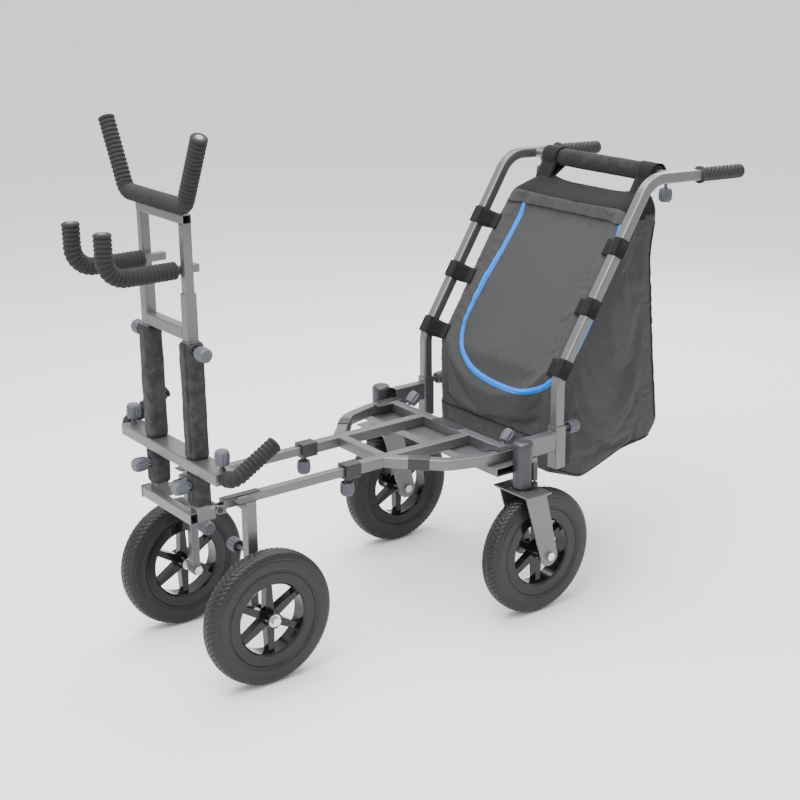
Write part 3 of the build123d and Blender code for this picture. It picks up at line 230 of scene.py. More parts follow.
# ---------------------------------------------------------------- materials
class Finish:
    """A Principled material and the texture nodes that vary it."""

    def __init__(self, name, colour, roughness, **fixed):
        self.material = bpy.data.materials.new(name)
        self.material.use_nodes = True
        self.tree = self.material.node_tree
        self.shader = self.tree.nodes["Principled BSDF"]
        self.shader.inputs["Base Color"].default_value = (*colour, 1)
        self.shader.inputs["Roughness"].default_value = roughness
        for key, value in fixed.items():
            self.shader.inputs[key.replace("_", " ")].default_value = value
        self.place = self.node("ShaderNodeTexCoord").outputs["Object"]
        self.normal = None

    def node(self, kind, **settings):
        made = self.tree.nodes.new(kind)
        for key, value in settings.items():
            setattr(made, key, value)
        return made

    def join(self, source, target):
        self.tree.links.new(source, target)

    def math(self, operation, first, second=0.0):
        made = self.node("ShaderNodeMath", operation=operation)
        for i, value in enumerate((first, second)):
            if isinstance(value, (int, float)):
                made.inputs[i].default_value = value
            else:
                self.join(value, made.inputs[i])
        return made.outputs[0]

    def along(self, axis):
        """Distance along a direction, in metres."""
        made = self.node("ShaderNodeVectorMath", operation="DOT_PRODUCT")
        self.join(self.place, made.inputs[0])
        made.inputs[1].default_value = axis
        return made.outputs["Value"]

    def noise(self, scale, detail=3.0, stretch=(1, 1, 1)):
        shift = self.node("ShaderNodeMapping")
        shift.inputs["Scale"].default_value = stretch
        self.join(self.place, shift.inputs["Vector"])
        made = self.node("ShaderNodeTexNoise")
        made.inputs["Scale"].default_value = scale
        made.inputs["Detail"].default_value = detail
        self.join(shift.outputs["Vector"], made.inputs["Vector"])
        return made.outputs["Fac"]

    def cells(self, scale):
        made = self.node("ShaderNodeTexVoronoi")
        made.inputs["Scale"].default_value = scale
        self.join(self.place, made.inputs["Vector"])
        return made.outputs["Distance"]

    def span(self, value, low, high, start=0.3, end=0.7):
        """Maps a texture's start to end range onto low to high."""
        made = self.node("ShaderNodeMapRange")
        self.join(value, made.inputs["Value"])
        made.inputs["From Min"].default_value = start
        made.inputs["From Max"].default_value = end
        made.inputs["To Min"].default_value = low
        made.inputs["To Max"].default_value = high
        return made.outputs["Result"]

    def blend(self, factor, first, second):
        made = self.node("ShaderNodeMix", data_type="RGBA")
        self.join(factor, made.inputs["Factor"])
        for slot, value in (("A", first), ("B", second)):
            socket = [s for s in made.inputs if s.name == slot and s.type == "RGBA"][0]
            if isinstance(value, tuple):
                socket.default_value = (*value, 1)
            else:
                self.join(value, socket)
        return [s for s in made.outputs if s.type == "RGBA"][0]

    def colour(self, value):
        self.join(value, self.shader.inputs["Base Color"])

    def rough(self, value):
        self.join(value, self.shader.inputs["Roughness"])

    def bump(self, height, distance, strength=1.0):
        """Adds a layer of relief, distance metres deep."""
        made = self.node("ShaderNodeBump")
        made.inputs["Distance"].default_value = distance
        made.inputs["Strength"].default_value = strength
        self.join(height, made.inputs["Height"])
        if self.normal:
            self.join(self.normal, made.inputs["Normal"])
        self.normal = made.outputs["Normal"]
        self.join(self.normal, self.shader.inputs["Normal"])

    def edges(self, radius):
        """0 on flats, 1 on outer and inner edges, from a rounded copy of the normal."""
        made = self.node("ShaderNodeBevel", samples=6)
        made.inputs["Radius"].default_value = radius
        flat = self.node("ShaderNodeNewGeometry").outputs["Normal"]
        dot = self.node("ShaderNodeVectorMath", operation="DOT_PRODUCT")
        self.join(made.outputs["Normal"], dot.inputs[0])
        self.join(flat, dot.inputs[1])
        self.normal = made.outputs["Normal"]
        self.join(self.normal, self.shader.inputs["Normal"])
        return self.span(dot.outputs["Value"], 1.0, 0.0, 0.75, 0.99)

    def weave(self, pitch, depth):
        """Crossed threads whose two directions lie in any face of a box-like piece."""
        turns = 2 * math.pi / pitch
        first = self.math("SINE", self.math("MULTIPLY", self.along((1, 1, 0)), turns))
        second = self.math("SINE", self.math("MULTIPLY", self.along((0.45, -0.45, 1)), turns))
        height = self.math("MULTIPLY", first, second)
        self.bump(height, depth)
        return height


def paint_finish():
    made = Finish("frame_paint_satin", (0.13, 0.13, 0.135), 0.33, Metallic=0.7, Coat_Weight=0.1,
                  Coat_Roughness=0.25)
    wear = made.math("MULTIPLY", made.edges(0.0012), made.span(made.noise(90), 0.15, 0.9))
    tone = made.blend(made.noise(14, 4), (0.115, 0.115, 0.119), (0.155, 0.155, 0.16))
    made.colour(made.blend(wear, tone, (0.36, 0.36, 0.37)))
    made.rough(made.span(made.noise(260, 5), 0.30, 0.44))
    made.bump(made.noise(1500, 2), 0.00006)
    made.bump(made.noise(60, 3), 0.0002, 0.5)
    return made.material


def steel_finish():
    made = Finish("bright_zinc", (0.6, 0.6, 0.61), 0.22, Metallic=1.0)
    made.edges(0.0006)
    made.colour(made.blend(made.noise(180, 4), (0.5, 0.5, 0.51), (0.72, 0.72, 0.73)))
    made.rough(made.span(made.noise(400, 4), 0.14, 0.34))
    made.bump(made.noise(900, 2), 0.00003)
    return made.material


def moulded(name, dark, light, low, high, grain=1100.0, depth=0.00008, **fixed):
    """A moulded plastic with fine grain and slightly scuffed edges."""
    made = Finish(name, dark, low, **fixed)
    wear = made.math("MULTIPLY", made.edges(0.001), 0.35)
    tone = made.blend(made.noise(40, 4), dark, light)
    made.colour(made.blend(wear, tone, tuple(min(1.0, 2.2 * c + 0.01) for c in light)))
    made.rough(made.span(made.noise(300, 4), low, high))
    made.bump(made.noise(grain, 3), depth)
    return made.material


def foam_finish():
    made = Finish("ribbed_foam", (0.018, 0.018, 0.019), 0.8, Specular_IOR_Level=0.2,
                  Sheen_Weight=0.03, Sheen_Roughness=0.6)
    made.colour(made.blend(made.noise(35, 5), (0.012, 0.012, 0.0125), (0.024, 0.024, 0.0245)))
    made.rough(made.span(made.noise(500, 3), 0.66, 0.85))
    made.bump(made.cells(1500), 0.00022)
    made.bump(made.noise(220, 4), 0.0004, 0.6)
    return made.material


def suede_finish(name, dark, light):
    """Soft brushed cover: blotchy nap with fine fibre."""
    made = Finish(name, dark, 0.9, Specular_IOR_Level=0.15, Sheen_Weight=0.06, Sheen_Roughness=0.45)
    blotch = made.span(made.noise(55, 6), 0.0, 1.0, 0.35, 0.68)
    made.colour(made.blend(blotch, dark, light))
    made.rough(made.span(made.noise(400, 4), 0.8, 0.98))
    made.bump(made.noise(2600, 4), 0.00025)
    made.bump(made.noise(48, 4), 0.0022, 0.7)
    return made.material


def rubber_finish(name, dark, light, low=0.55, high=0.78):
    made = Finish(name, dark, low, Specular_IOR_Level=0.35)
    made.colour(made.blend(made.span(made.noise(60, 3), 0.0, 1.0, 0.2, 0.9), dark, light))
    made.rough(made.span(made.noise(240, 4), low, high))
    made.bump(made.noise(1400, 3), 0.00012)
    return made.material


def bag_finish():
    made = Finish("bag_nylon", (0.035, 0.035, 0.036), 0.55, Specular_IOR_Level=0.28,
                  Sheen_Weight=0.03, Sheen_Roughness=0.4)
    threads = made.weave(0.0011, 0.00016)
    tone = made.blend(made.noise(9, 4), (0.027, 0.027, 0.028), (0.036, 0.036, 0.037))
    made.colour(made.blend(made.span(threads, 0.0, 0.22, -1, 1), tone, (0.058, 0.058, 0.059)))
    made.rough(made.span(made.noise(120, 4), 0.52, 0.7))
    made.bump(made.noise(38, 5, (1, 1, 0.5)), 0.0022, 0.55)
    made.bump(made.noise(150, 4), 0.0006, 0.5)
    return made.material


def web_finish(name, dark, light, pitch, depth):
    """Thick woven webbing or hook-and-loop tape."""
    made = Finish(name, dark, 0.85, Specular_IOR_Level=0.12, Sheen_Weight=0.05, Sheen_Roughness=0.5)
    threads = made.weave(pitch, depth)
    fuzz = made.noise(900, 4)
    made.colour(made.blend(made.span(made.math("MULTIPLY", threads, fuzz), 0, 1, -0.4, 0.6), dark, light))
    made.rough(made.span(fuzz, 0.75, 0.95))
    made.bump(fuzz, 0.0003)
    return made.material


def zip_finish():
    made = Finish("zip_tape_blue", (0.01, 0.18, 0.8), 0.6, Specular_IOR_Level=0.2,
                  Sheen_Weight=0.03, Sheen_Roughness=0.4)
    threads = made.weave(0.0016, 0.00014)
    made.colour(made.blend(made.span(threads, 0, 1, -1, 1), (0.001, 0.13, 0.56), (0.003, 0.2, 0.74)))
    made.rough(made.span(made.noise(300, 3), 0.5, 0.7))
    return made.material


paint = paint_finish()
steel = steel_finish()
black_plastic = moulded("black_moulding", (0.009, 0.009, 0.01), (0.016, 0.015, 0.017), 0.34, 0.5)
housing_plastic = moulded("housing_moulding", (0.02, 0.018, 0.024), (0.032, 0.029, 0.037), 0.3, 0.45)
knob_plastic = moulded("knob_moulding", (0.05, 0.052, 0.068), (0.075, 0.078, 0.098), 0.42, 0.58,
                       700.0, 0.0001)
rim_plastic = moulded("rim_gloss", (0.004, 0.004, 0.0045), (0.007, 0.007, 0.0075), 0.1, 0.2, 1600.0, 0.00003,
                      Coat_Weight=0.1, Coat_Roughness=0.08, Specular_IOR_Level=0.3)
foam = foam_finish()
suede = suede_finish("post_pad_cover", (0.024, 0.024, 0.0245), (0.046, 0.046, 0.047))
bar_cover = suede_finish("bar_pad_cover", (0.013, 0.013, 0.0135), (0.024, 0.024, 0.0245))
tyre_rubber = rubber_finish("tyre_rubber", (0.007, 0.007, 0.0073), (0.013, 0.013, 0.0133), 0.34, 0.46)
grip_rubber = rubber_finish("grip_rubber", (0.013, 0.013, 0.0135), (0.022, 0.022, 0.0225), 0.5, 0.68)
nylon = bag_finish()
band_web = web_finish("bag_band", (0.005, 0.005, 0.0052), (0.012, 0.012, 0.0122), 0.0022, 0.0003)
strap_web = web_finish("hook_loop_strap", (0.006, 0.006, 0.0062), (0.014, 0.014, 0.0142), 0.0026, 0.0004)
thread = web_finish("seam_thread", (0.008, 0.008, 0.008), (0.018, 0.018, 0.018), 0.0008, 0.0001)
zip_blue = zip_finish()

NODE_FINISHES = {
    "caster_housings": housing_plastic,
    "rail_collars": black_plastic,
    "deck_grip_strips": black_plastic,
    "fold_fittings": black_plastic,
}
STARTS = (
    ("caster_axle", steel), ("front_axle", steel), ("caster_lock", housing_plastic),
)
for node_name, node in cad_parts.items():
    finish = NODE_FINISHES.get(node_name, paint)
    if "_knob_" in node_name:
        finish = knob_plastic
    elif node_name.endswith("_rim"):
        finish = rim_plastic
    elif node_name.endswith("_tyre"):
        finish = tyre_rubber
    for start, start_finish in STARTS:
        if node_name.startswith(start):
            finish = start_finish
    for material_slot in node.material_slots:
        material_slot.material = finish

# ---------------------------------------------------------------- places from the frame
wheel_low, wheel_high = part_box("front_left_tyre")
AXLE_X = (wheel_low.x + wheel_high.x) / 2
WHEEL_RADIUS = (wheel_high.z - wheel_low.z) / 2
pads_low, pads_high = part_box("post_pads")
PAD_SIZE = pads_high.x - pads_low.x
POST_X = (pads_low.x + pads_high.x) / 2
POST_Y = pads_high.y - PAD_SIZE / 2
bar_low, bar_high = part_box("luggage_crossbar")
bag_low, bag_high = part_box("bag")
grips_low, grips_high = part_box("handle_grips")
uprights_low, uprights_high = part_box("handle_uprights")
foams_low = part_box("rod_rest_foams")[0]
bar_pad_low, bar_pad_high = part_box("handle_bar_pad")
UPRIGHT_Y = uprights_high.y - UPRIGHT_TUBE / 2
UPRIGHT_X = uprights_low.x + UPRIGHT_TUBE / 2
HANDLE_KINK_Z = 0.541
HANDLE_HEAD = Vector((AXLE_X + 1.026, 0, 0.967))


# ---------------------------------------------------------------- wheels
def tyre_outline():
    """Half the tyre's section, as (distance from its middle plane, radius) pairs."""
    key = [(0.019, 0.1002), (0.0192, 0.1035), (0.0215, 0.1046), (0.0234, 0.1062), (0.0240, 0.1085),
           (0.0226, 0.1103), (0.0240, 0.1122), (0.0249, 0.1150), (0.0250, 0.1210), (0.0249, 0.1275),
           (0.0246, 0.1310), (0.0231, 0.1325), (0.0238, 0.1345), (0.0230, 0.1380), (0.0212, 0.1425),
           (0.0180, 0.1462), (0.0130, 0.1484), (0.0070, 0.1496), (0.0, 0.1500)]
    line = smooth_line([(a, r, 0) for a, r in key], 0.0013)
    return [(p.x, p.y * WHEEL_RADIUS / 0.15) for p in line]


def tread_depth(turn, offset):
    """Depth of the tread grooves at a turn (0 to 1 per pitch) and a distance from the middle plane."""
    off = abs(offset)
    if off > 0.0222:
        return 0.0
    fade = min(1.0, (0.0222 - off) / 0.002)
    slant = (turn + off * 62 + (0.5 if offset < 0 else 0.0)) % 1.0
    slanted = max(0.0, 1 - abs(slant - 0.5) / 0.17) if off > 0.004 else 0.0
    zigzag = 0.0085 + 0.0012 * math.cos(2 * math.pi * turn)
    ring = max(0.0, 1 - abs(off - zigzag) / 0.0011)
    centre = max(0.0, 1 - abs(offset - 0.0016 * math.sin(2 * math.pi * turn)) / 0.001)
    return TREAD_DEPTH * fade * min(1.0, 1.6 * max(slanted, ring, centre))


def tyre_mesh():
    half = tyre_outline()
    section = half + [(-a, r) for a, r in reversed(half[:-1])]
    around = TYRE_PITCHES * 8
    rings = []
    for i in range(around):
        angle = 2 * math.pi * i / around
        out = Vector((math.cos(angle), 0, math.sin(angle)))
        ring = []
        for offset, radius in section:
            cut = tread_depth((i / 8) % 1.0, offset) if radius > 0.138 else 0.0
            ring.append(out * (radius - cut) + Vector((0, offset, 0)))
        rings.append(ring)
    return [p for ring in rings for p in ring], skin(rings, False, True)


tyre_points, tyre_faces = tyre_mesh()
tyre_data = None
for wheel_name in ("front_left", "front_right", "caster_left", "caster_right"):
    low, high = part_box(f"{wheel_name}_tyre")
    if tyre_data is None:
        piece = new_piece(f"tread_{wheel_name}", tyre_points, tyre_faces)
        piece.data.materials.append(tyre_rubber)
        tyre_data = piece.data
    else:
        piece = bpy.data.objects.new(f"tread_{wheel_name}", tyre_data)
        bpy.context.scene.collection.objects.link(piece)
    piece.location = (low + high) / 2
    wheel_body = f"front_wheel_{wheel_name[6:]}" if wheel_name.startswith("front") else (
        f"caster_wheel_{wheel_name[7:]}")
    finish_piece(piece, wheel_body, "tyre_rubber", [], f"{wheel_name}_tyre")


# ---------------------------------------------------------------- ribbed foam sleeves
def ribbed_rings(corners, bend, side, radius):
    """A closed foam sleeve whose outside is moulded into round ribs."""
    step = FOAM_PITCH / 9
    line = bent_line(corners, bend, step)
    heads = directions(line)
    length = step * (len(line) - 1)
    pitch = length / round(length / FOAM_PITCH)
    side = Vector(side)
    sides = []
    for head in heads:
        side = (side - head * side.dot(head)).normalized()
        sides.append(side)
    rings = []
    for i, (place, head, side) in enumerate(zip(line, heads, sides)):
        t = (i * step / pitch) % 1.0
        rib = max(0.0, 1 - abs(2 * t - 1) ** 2.2) ** 0.7
        wobble = 1 + 0.012 * noise.noise(place * 60)
        rings.append(circle_ring(place, head, side, (radius - FOAM_RIB_DEPTH * (1 - rib)) * wobble, 36))
    ends = [line[0], line[-1]], [heads[0], heads[-1]]
    lip = radius - FOAM_RIB_DEPTH - 0.002
    last = circle_ring(ends[0][1], ends[1][1], sides[-1], lip, 36)
    first = circle_ring(ends[0][0], ends[1][0], sides[0], lip, 36)
    inside = [circle_ring(p, h, s, FOAM_BORE, 36) for p, h, s in zip(line[::9], heads[::9], sides[::9])]
    inside[-1] = circle_ring(ends[0][1], ends[1][1], sides[-1], FOAM_BORE, 36)
    return rings + [last] + inside[::-1] + [first]


HOOK_RADIUS = 0.0185
hook_z = foams_low.z + HOOK_RADIUS
hook_x = foams_low.x + HOOK_RADIUS
hook_tip_z = 0.9855
hook_y = POST_Y - 0.018
rest_x = AXLE_X - 0.110
REST_RADIUS = 0.0175
rest_tip = Vector((rest_x, 0.192, 1.167))
rest_line = [
    (rest_x, -rest_tip.y, rest_tip.z),
    (rest_x, -REST_BEND_Y, REST_BEND_Z),
    (rest_x, REST_BEND_Y, REST_BEND_Z),
    tuple(rest_tip),
]
foam_parts = [(ribbed_rings(rest_line, REST_BEND, (1, 0, 0), REST_RADIUS), True)]
for end in (-1, 1):
    y = end * hook_y
    hook_line = [(POST_X - 0.0155, y, hook_z), (hook_x, y, hook_z), (hook_x, y, hook_tip_z)]
    foam_parts.append((ribbed_rings(hook_line, HOOK_BEND, (0, 1, 0), HOOK_RADIUS), True))
sleeves = new_piece("rest_and_hook_foam", *joined(foam_parts))
finish_piece(sleeves, "mast", "foam", [foam], "rod_rest_foams")

for end, side_name in ((-1, "left"), (1, "right")):
    low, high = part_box(f"horn_foam_{side_name}")
    corner_y = end * HORN_OUT_Y
    start_y = low.y if end > 0 else high.y
    horn_line = [
        (POST_X, start_y, bar_low.z + 0.0125),
        (POST_X, corner_y, bar_low.z + 0.0125),
        (AXLE_X + 0.008, corner_y, HORN_TIP_Z),
    ]
    rings = ribbed_rings(horn_line, HORN_BEND, (0.5, 0, -0.87), REST_RADIUS)
    sleeve = new_piece(f"horn_sleeve_{side_name}", *joined([(rings, True)]))
    finish_piece(sleeve, f"horn_{side_name}", "foam", [foam], f"horn_foam_{side_name}")


# ---------------------------------------------------------------- post pads
def square_ring(half, corner, step):
    """A rounded square about the origin, starting in the middle of its -X side."""
    points = []
    for quarter in range(4):
        turn = Matrix.Rotation(math.pi / 2 * quarter, 2)
        flat = half - corner
        run = [Vector((-half, 0)), Vector((-half, -flat))]
        for i in range(1, 9):
            a = math.pi / 2 * i / 8
            run.append(Vector((-flat - corner * math.cos(a), -flat - corner * math.sin(a))))
        run.append(Vector((0, -half)))
        points += [(turn @ p).to_3d() for p in run[:-1]]
    points.append(points[0].copy())
    return evenly(points, step)


def pad_rings(centre_y, low_z, high_z, outward, dimple_z, dimple_side):
    """A split foam pad round a post, with soft ends, dents and a dimple where a clamp nut sits."""
    outer = square_ring(PAD_SIZE / 2, PAD_CORNER, PAD_STEP)[:-1]
    rows = round((high_z - low_z) / PAD_STEP)
    rings = []
    for row in range(rows + 1):
        z = low_z + (high_z - low_z) * row / rows
        from_end = min(z - low_z, high_z - z)
        soft = PAD_END_SOFT * (1 - min(1.0, from_end / PAD_END_ROUND)) ** 2
        ring = []
        for p in outer:
            size = p.length
            out = p / size
            place = Vector((POST_X + p.x, centre_y + p.y, z))
            dent = 0.0011 * noise.noise(place * 26) + 0.0006 * noise.noise(place * 70)
            slit = abs(p.y - outward * PAD_SLIT_Y) if p.x < -PAD_INNER_HALF else 1.0
            pinch = PAD_SLIT_DEPTH * max(0.0, 1 - slit / (PAD_SLIT * 1.4))
            pinch += 0.0010 * max(0.0, 1 - slit / 0.008)
            reach = Vector((p.x, p.y, z - dimple_z))
            if dimple_side == "x":
                near = math.hypot(reach.y, reach.z) if p.x < 0 else 1.0
            else:
                near = math.hypot(reach.x, reach.z) if p.y * outward > 0 else 1.0
            dimple = PAD_DIMPLE_DEPTH * max(0.0, min(1.0, (PAD_DIMPLE_RADIUS - near) / 0.0025))
            ring.append(place + (dent - soft - pinch - dimple) * out)
        rings.append(ring)
    inside = []
    for z in (high_z - 0.001, low_z + 0.001):
        scale = PAD_INNER_HALF / (PAD_SIZE / 2)
        inside.append([Vector((POST_X + p.x * scale, centre_y + p.y * scale, z)) for p in outer])
    return rings + inside


pad_parts = []
for end in (-1, 1):
    y = end * POST_Y
    pad_parts.append((pad_rings(y, pads_low.z, bar_low.z - 0.0015, end, LOWER_DIMPLE_Z, "x"), True))
    pad_parts.append((pad_rings(y, bar_high.z - 0.006, pads_high.z, end, UPPER_DIMPLE_Z, "y"), True))
pads = new_piece("post_pad_covers", *joined(pad_parts))
finish_piece(pads, "posts", "foam", [suede], "post_pads")


# ---------------------------------------------------------------- handle bar pad and grips
def bar_pad_rings():
    centre = (bar_pad_low + bar_pad_high) / 2
    radius = (bar_pad_high.z - bar_pad_low.z) / 2
    half = (bar_pad_high.y - bar_pad_low.y) / 2
    rows = round(2 * half / 0.003)
    rings = []
    for row in range(rows + 1):
        y = -half + 2 * half * row / rows
        from_end = half - abs(y)
        soft = 0.004 * (1 - min(1.0, from_end / 0.007)) ** 2
        squeeze = 0.0012 * max(0.0, 1 - (abs(abs(y) - BAR_STRAP_Y) / 0.031) ** 8)
        ring = []
        for j in range(BAR_AROUND):
            a = 2 * math.pi * j / BAR_AROUND
            out = Vector((math.cos(a), 0, math.sin(a)))
            place = centre + Vector((0, y, 0)) + out * radius
            dent = 0.0007 * noise.noise(place * 22) + 0.0003 * noise.noise(place * 75)
            seam = 0.002 * max(0.0, 1 - abs(a - 1.25 * math.pi) / 0.09)
            ring.append(place + out * (dent - soft - squeeze - seam - 0.0006))
        rings.append(ring)
    turns = [2 * math.pi * j / BAR_AROUND for j in range(BAR_AROUND)]
    bore = [Vector((BAR_BORE * math.cos(a), 0, BAR_BORE * math.sin(a))) for a in turns]
    inside = [[centre + p + Vector((0, y, 0)) for p in bore] for y in (half - 0.001, -half + 0.001)]
    return rings + inside


bar_cover_piece = new_piece("bar_pad_cover", *joined([(bar_pad_rings(), True)]))
finish_piece(bar_cover_piece, "handle", "foam", [bar_cover], "handle_bar_pad")


def grip_rings(y):
    """A moulded grip: flange, slanted ribs, a smooth band and a domed end."""
    head = Vector((math.cos(HANDLE_DROOP), 0, -math.sin(HANDLE_DROOP)))
    length = (grips_high.x - grips_low.x) / math.cos(HANDLE_DROOP) - 0.0006
    start_z = grips_high.z - GRIP_FLANGE_RADIUS * math.cos(HANDLE_DROOP)
    start = Vector((grips_low.x + 0.0002, y, start_z))
    across = Vector((0, 1, 0))
    rings = []
    rows = round(length / 0.0013)
    for row in range(rows + 1):
        s = length * row / rows
        ring = []
        for j in range(72):
            a = 2 * math.pi * j / 72
            if s < 0.0015:
                radius = 0.0192 + 0.0013 * math.sqrt(s / 0.0015)
            elif s < 0.0075:
                radius = GRIP_FLANGE_RADIUS
            elif s < 0.0095:
                radius = GRIP_FLANGE_RADIUS - 0.0040 * (s - 0.0075) / 0.002
            elif s < length - 0.008:
                wave = math.sin(GRIP_STARTS * a + 2 * math.pi * GRIP_STARTS * s / GRIP_LEAD * 1.6)
                fade = min(1.0, (s - 0.0095) / 0.005, (length - 0.008 - s) / 0.005)
                rib = max(-0.6, min(0.6, 1.6 * wave)) / 0.6
                radius = GRIP_RADIUS + 0.5 * GRIP_RIB_DEPTH * rib * max(0.0, fade)
            else:
                t = (s - length + 0.008) / 0.008
                radius = 0.0168 * math.sqrt(max(0.0, 1 - 0.55 * t ** 4))
            up = head.cross(across)
            ring.append(start + head * s + radius * (math.cos(a) * across + math.sin(a) * up))
        rings.append(ring)
    return rings


grips = new_piece("ribbed_grips", *joined([(grip_rings(-UPRIGHT_Y), False), (grip_rings(UPRIGHT_Y), False)]))
finish_piece(grips, "handle", "grip_rubber", [grip_rubber], "handle_grips")

# ---------------------------------------------------------------- bag
slope = (HANDLE_HEAD.x - UPRIGHT_X) / (HANDLE_HEAD.z - HANDLE_KINK_Z)
slope_angle = math.atan(slope)
lean = Vector((math.sin(slope_angle), 0, math.cos(slope_angle)))
back_of_lean = Vector((math.cos(slope_angle), 0, -math.sin(slope_angle)))
STANDOFF = 0.0158
front_x = bag_low.x + 0.0005
top_z = bag_high.z
half_width = bag_high.y - 0.0015


def slope_point(z):
    """Where the front panel's slope is at a height."""
    base = Vector((UPRIGHT_X, 0, HANDLE_KINK_Z)) + back_of_lean * STANDOFF
    return base + lean * ((z - base.z) / lean.z)


kink_z = HANDLE_KINK_Z + (front_x - slope_point(HANDLE_KINK_Z).x) / slope
front_top = slope_point(top_z)
BAG_SIDE = [
    (front_x, 0.296),
    (front_x, kink_z),
    (front_top.x, top_z),
    (AXLE_X + 1.095, top_z + 0.015),
    (AXLE_X + 1.084, 0.770),
    (AXLE_X + 1.108, 0.520),
    (AXLE_X + 1.127, 0.356),
    (AXLE_X + 1.094, 0.310),
    (AXLE_X + 1.000, 0.300),
    (AXLE_X + 0.872, bag_low.z + 0.002),
]


def inset_outline(outline, distance):
    """An outline moved inward, corner by corner. It runs clockwise seen from -Y."""
    points = [Vector(p) for p in outline]
    moved = []
    for i, p in enumerate(points):
        before = (p - points[i - 1]).normalized()
        after = (points[(i + 1) % len(points)] - p).normalized()
        inward_before = Vector((before.y, -before.x))
        inward_after = Vector((after.y, -after.x))
        middle = (inward_before + inward_after).normalized()
        moved.append(p + middle * (distance / max(0.35, middle.dot(inward_before))))
    return moved


def bag_shell():
    """The bag's unstuffed shape: a lofted side outline with rounded side edges."""
    stations = []
    for i in range(5):
        a = math.pi / 2 * i / 4
        out = half_width - BAG_SEAM_SETBACK * (1 - math.cos(a))
        stations.append((out, BAG_SEAM_SETBACK * (1 - math.sin(a))))
    stations = [(-y, d) for y, d in stations] + [(0.0, 0.0)] + [(y, d) for y, d in reversed(stations)]
    rings = []
    for y, distance in stations:
        rings.append([Vector((p.x, y, p.y)) for p in inset_outline(BAG_SIDE, distance)])
    points = [p for ring in rings for p in ring]
    return points, skin(rings)


def top_drop(y):
    """How far the bag's top corners round down at a distance from the middle."""
    over = abs(y) - (half_width - BAG_TOP_CORNER)
    if over <= 0:
        return 0.0
    over = min(over, BAG_TOP_CORNER * 0.98)
    return BAG_TOP_CORNER - math.sqrt(BAG_TOP_CORNER ** 2 - over ** 2)


def use_only(piece):
    bpy.ops.object.select_all(action="DESELECT")
    piece.select_set(True)
    bpy.context.view_layer.objects.active = piece


def apply_all(piece):
    """Applies every modifier on a piece to its mesh."""
    use_only(piece)
    for modifier in list(piece.modifiers):
        bpy.ops.object.modifier_apply(modifier=modifier.name)


bag = new_piece("bag_shell", *bag_shell())
remesh = bag.modifiers.new("remesh", "REMESH")
remesh.mode = "VOXEL"
remesh.voxel_size = BAG_VOXEL
remesh.use_smooth_shade = True
soften = bag.modifiers.new("soften", "SMOOTH")
soften.factor = 0.5
soften.iterations = 5
apply_all(bag)

seam_attribute = bag.data.attributes.new("band", "FLOAT", "POINT")
for index, vertex in enumerate(bag.data.vertices):
    p = vertex.co
    ahead = (p - front_top).dot(back_of_lean)
    above = (p - front_top).dot(lean)
    facing_up = 0.04 * (vertex.normal.z - 0.35)
    seam_attribute.data[index].value = min(above + 0.0045, facing_up) if ahead > -0.02 else -1.0
    reach = max(0.0, min(1.0, (p.z - top_z + 0.13) / 0.13))
    drop = top_drop(p.y) * reach ** 1.5
    back = max(0.0, min(1.0, (p.x - front_top.x) / 0.09))
    lift = 0.012 * math.exp(-((abs(p.y) - BAR_STRAP_Y) / 0.045) ** 2) * back * reach ** 3
    dip = 0.006 * reach ** 3 * (1 - (p.y / half_width) ** 2) * (1 - back)
    vertex.co = p + Vector((0, 0, lift - drop - dip))
bag.data.update()


def hold(p):
    """How firmly the bag is held at a point: at its straps, seams, top and stiff base."""
    ahead = (p - front_top).dot(back_of_lean) if p.z > kink_z else p.x - front_x
    firm = 0.0
    if p.z > top_z - 0.012:
        firm = 0.92
    if abs(p.y) > half_width - 0.04 and ahead < 0.045:
        firm = max(firm, 0.55)
        for height in STRAP_HEIGHTS:
            if abs(p.z - height + 0.008) < 0.028:
                firm = 0.97
    if p.z < 0.315:
        firm = max(firm, 0.75)
    edge = min(abs(abs(p.y) - half_width), 1.0)
    if edge < 0.012 and p.x > AXLE_X + 1.04:
        firm = max(firm, 0.5)
    if abs(p.z - BAG_LOW_SEAM_Z) < 0.01 and ahead < 0.02:
        firm = max(firm, 0.5)
    return firm


def slump(piece):
    """Cloth simulation: slightly oversized fabric, hung from its straps and base, settles into folds."""
    rest = [v.co.copy() for v in piece.data.vertices]
    for vertex in piece.data.vertices:
        p = vertex.co
        swell = 0.0035 * noise.noise(Vector((p.x * 9, p.y * 9, p.z * 5))) + 0.0015 * noise.noise(p * 24)
        vertex.co = p + vertex.normal * swell * (1 - hold(p))
    group = piece.vertex_groups.new(name="held")
    for vertex in piece.data.vertices:
        group.add([vertex.index], hold(vertex.co), "REPLACE")
    cloth = piece.modifiers.new("cloth", "CLOTH")
    settings = cloth.settings
    settings.quality = 6
    settings.mass = 0.25
    settings.tension_stiffness = 22
    settings.compression_stiffness = 22
    settings.shear_stiffness = 8
    settings.bending_stiffness = 1.2
    settings.air_damping = 2
    settings.use_pressure = True
    settings.uniform_pressure_force = 0.9
    settings.shrink_min = -0.04
    settings.vertex_group_mass = "held"
    settings.pin_stiffness = 1.2
    settings.effector_weights.gravity = 0.55
    cloth.collision_settings.use_collision = False
    cloth.point_cache.frame_start = 1
    cloth.point_cache.frame_end = BAG_SIM_FRAMES
    scene = bpy.context.scene
    for number in range(1, BAG_SIM_FRAMES + 1):
        scene.frame_set(number)
    shaped = piece.evaluated_get(bpy.context.evaluated_depsgraph_get()).data
    settled = [v.co.copy() for v in shaped.vertices]
    piece.modifiers.clear()
    piece.vertex_groups.clear()
    scene.frame_set(1)
    for vertex, start, end_place in zip(piece.data.vertices, rest, settled):
        move = end_place - start
        if move.length > BAG_MAX_MOVE:
            move = move.normalized() * BAG_MAX_MOVE
        vertex.co = start + move
    piece.data.update()


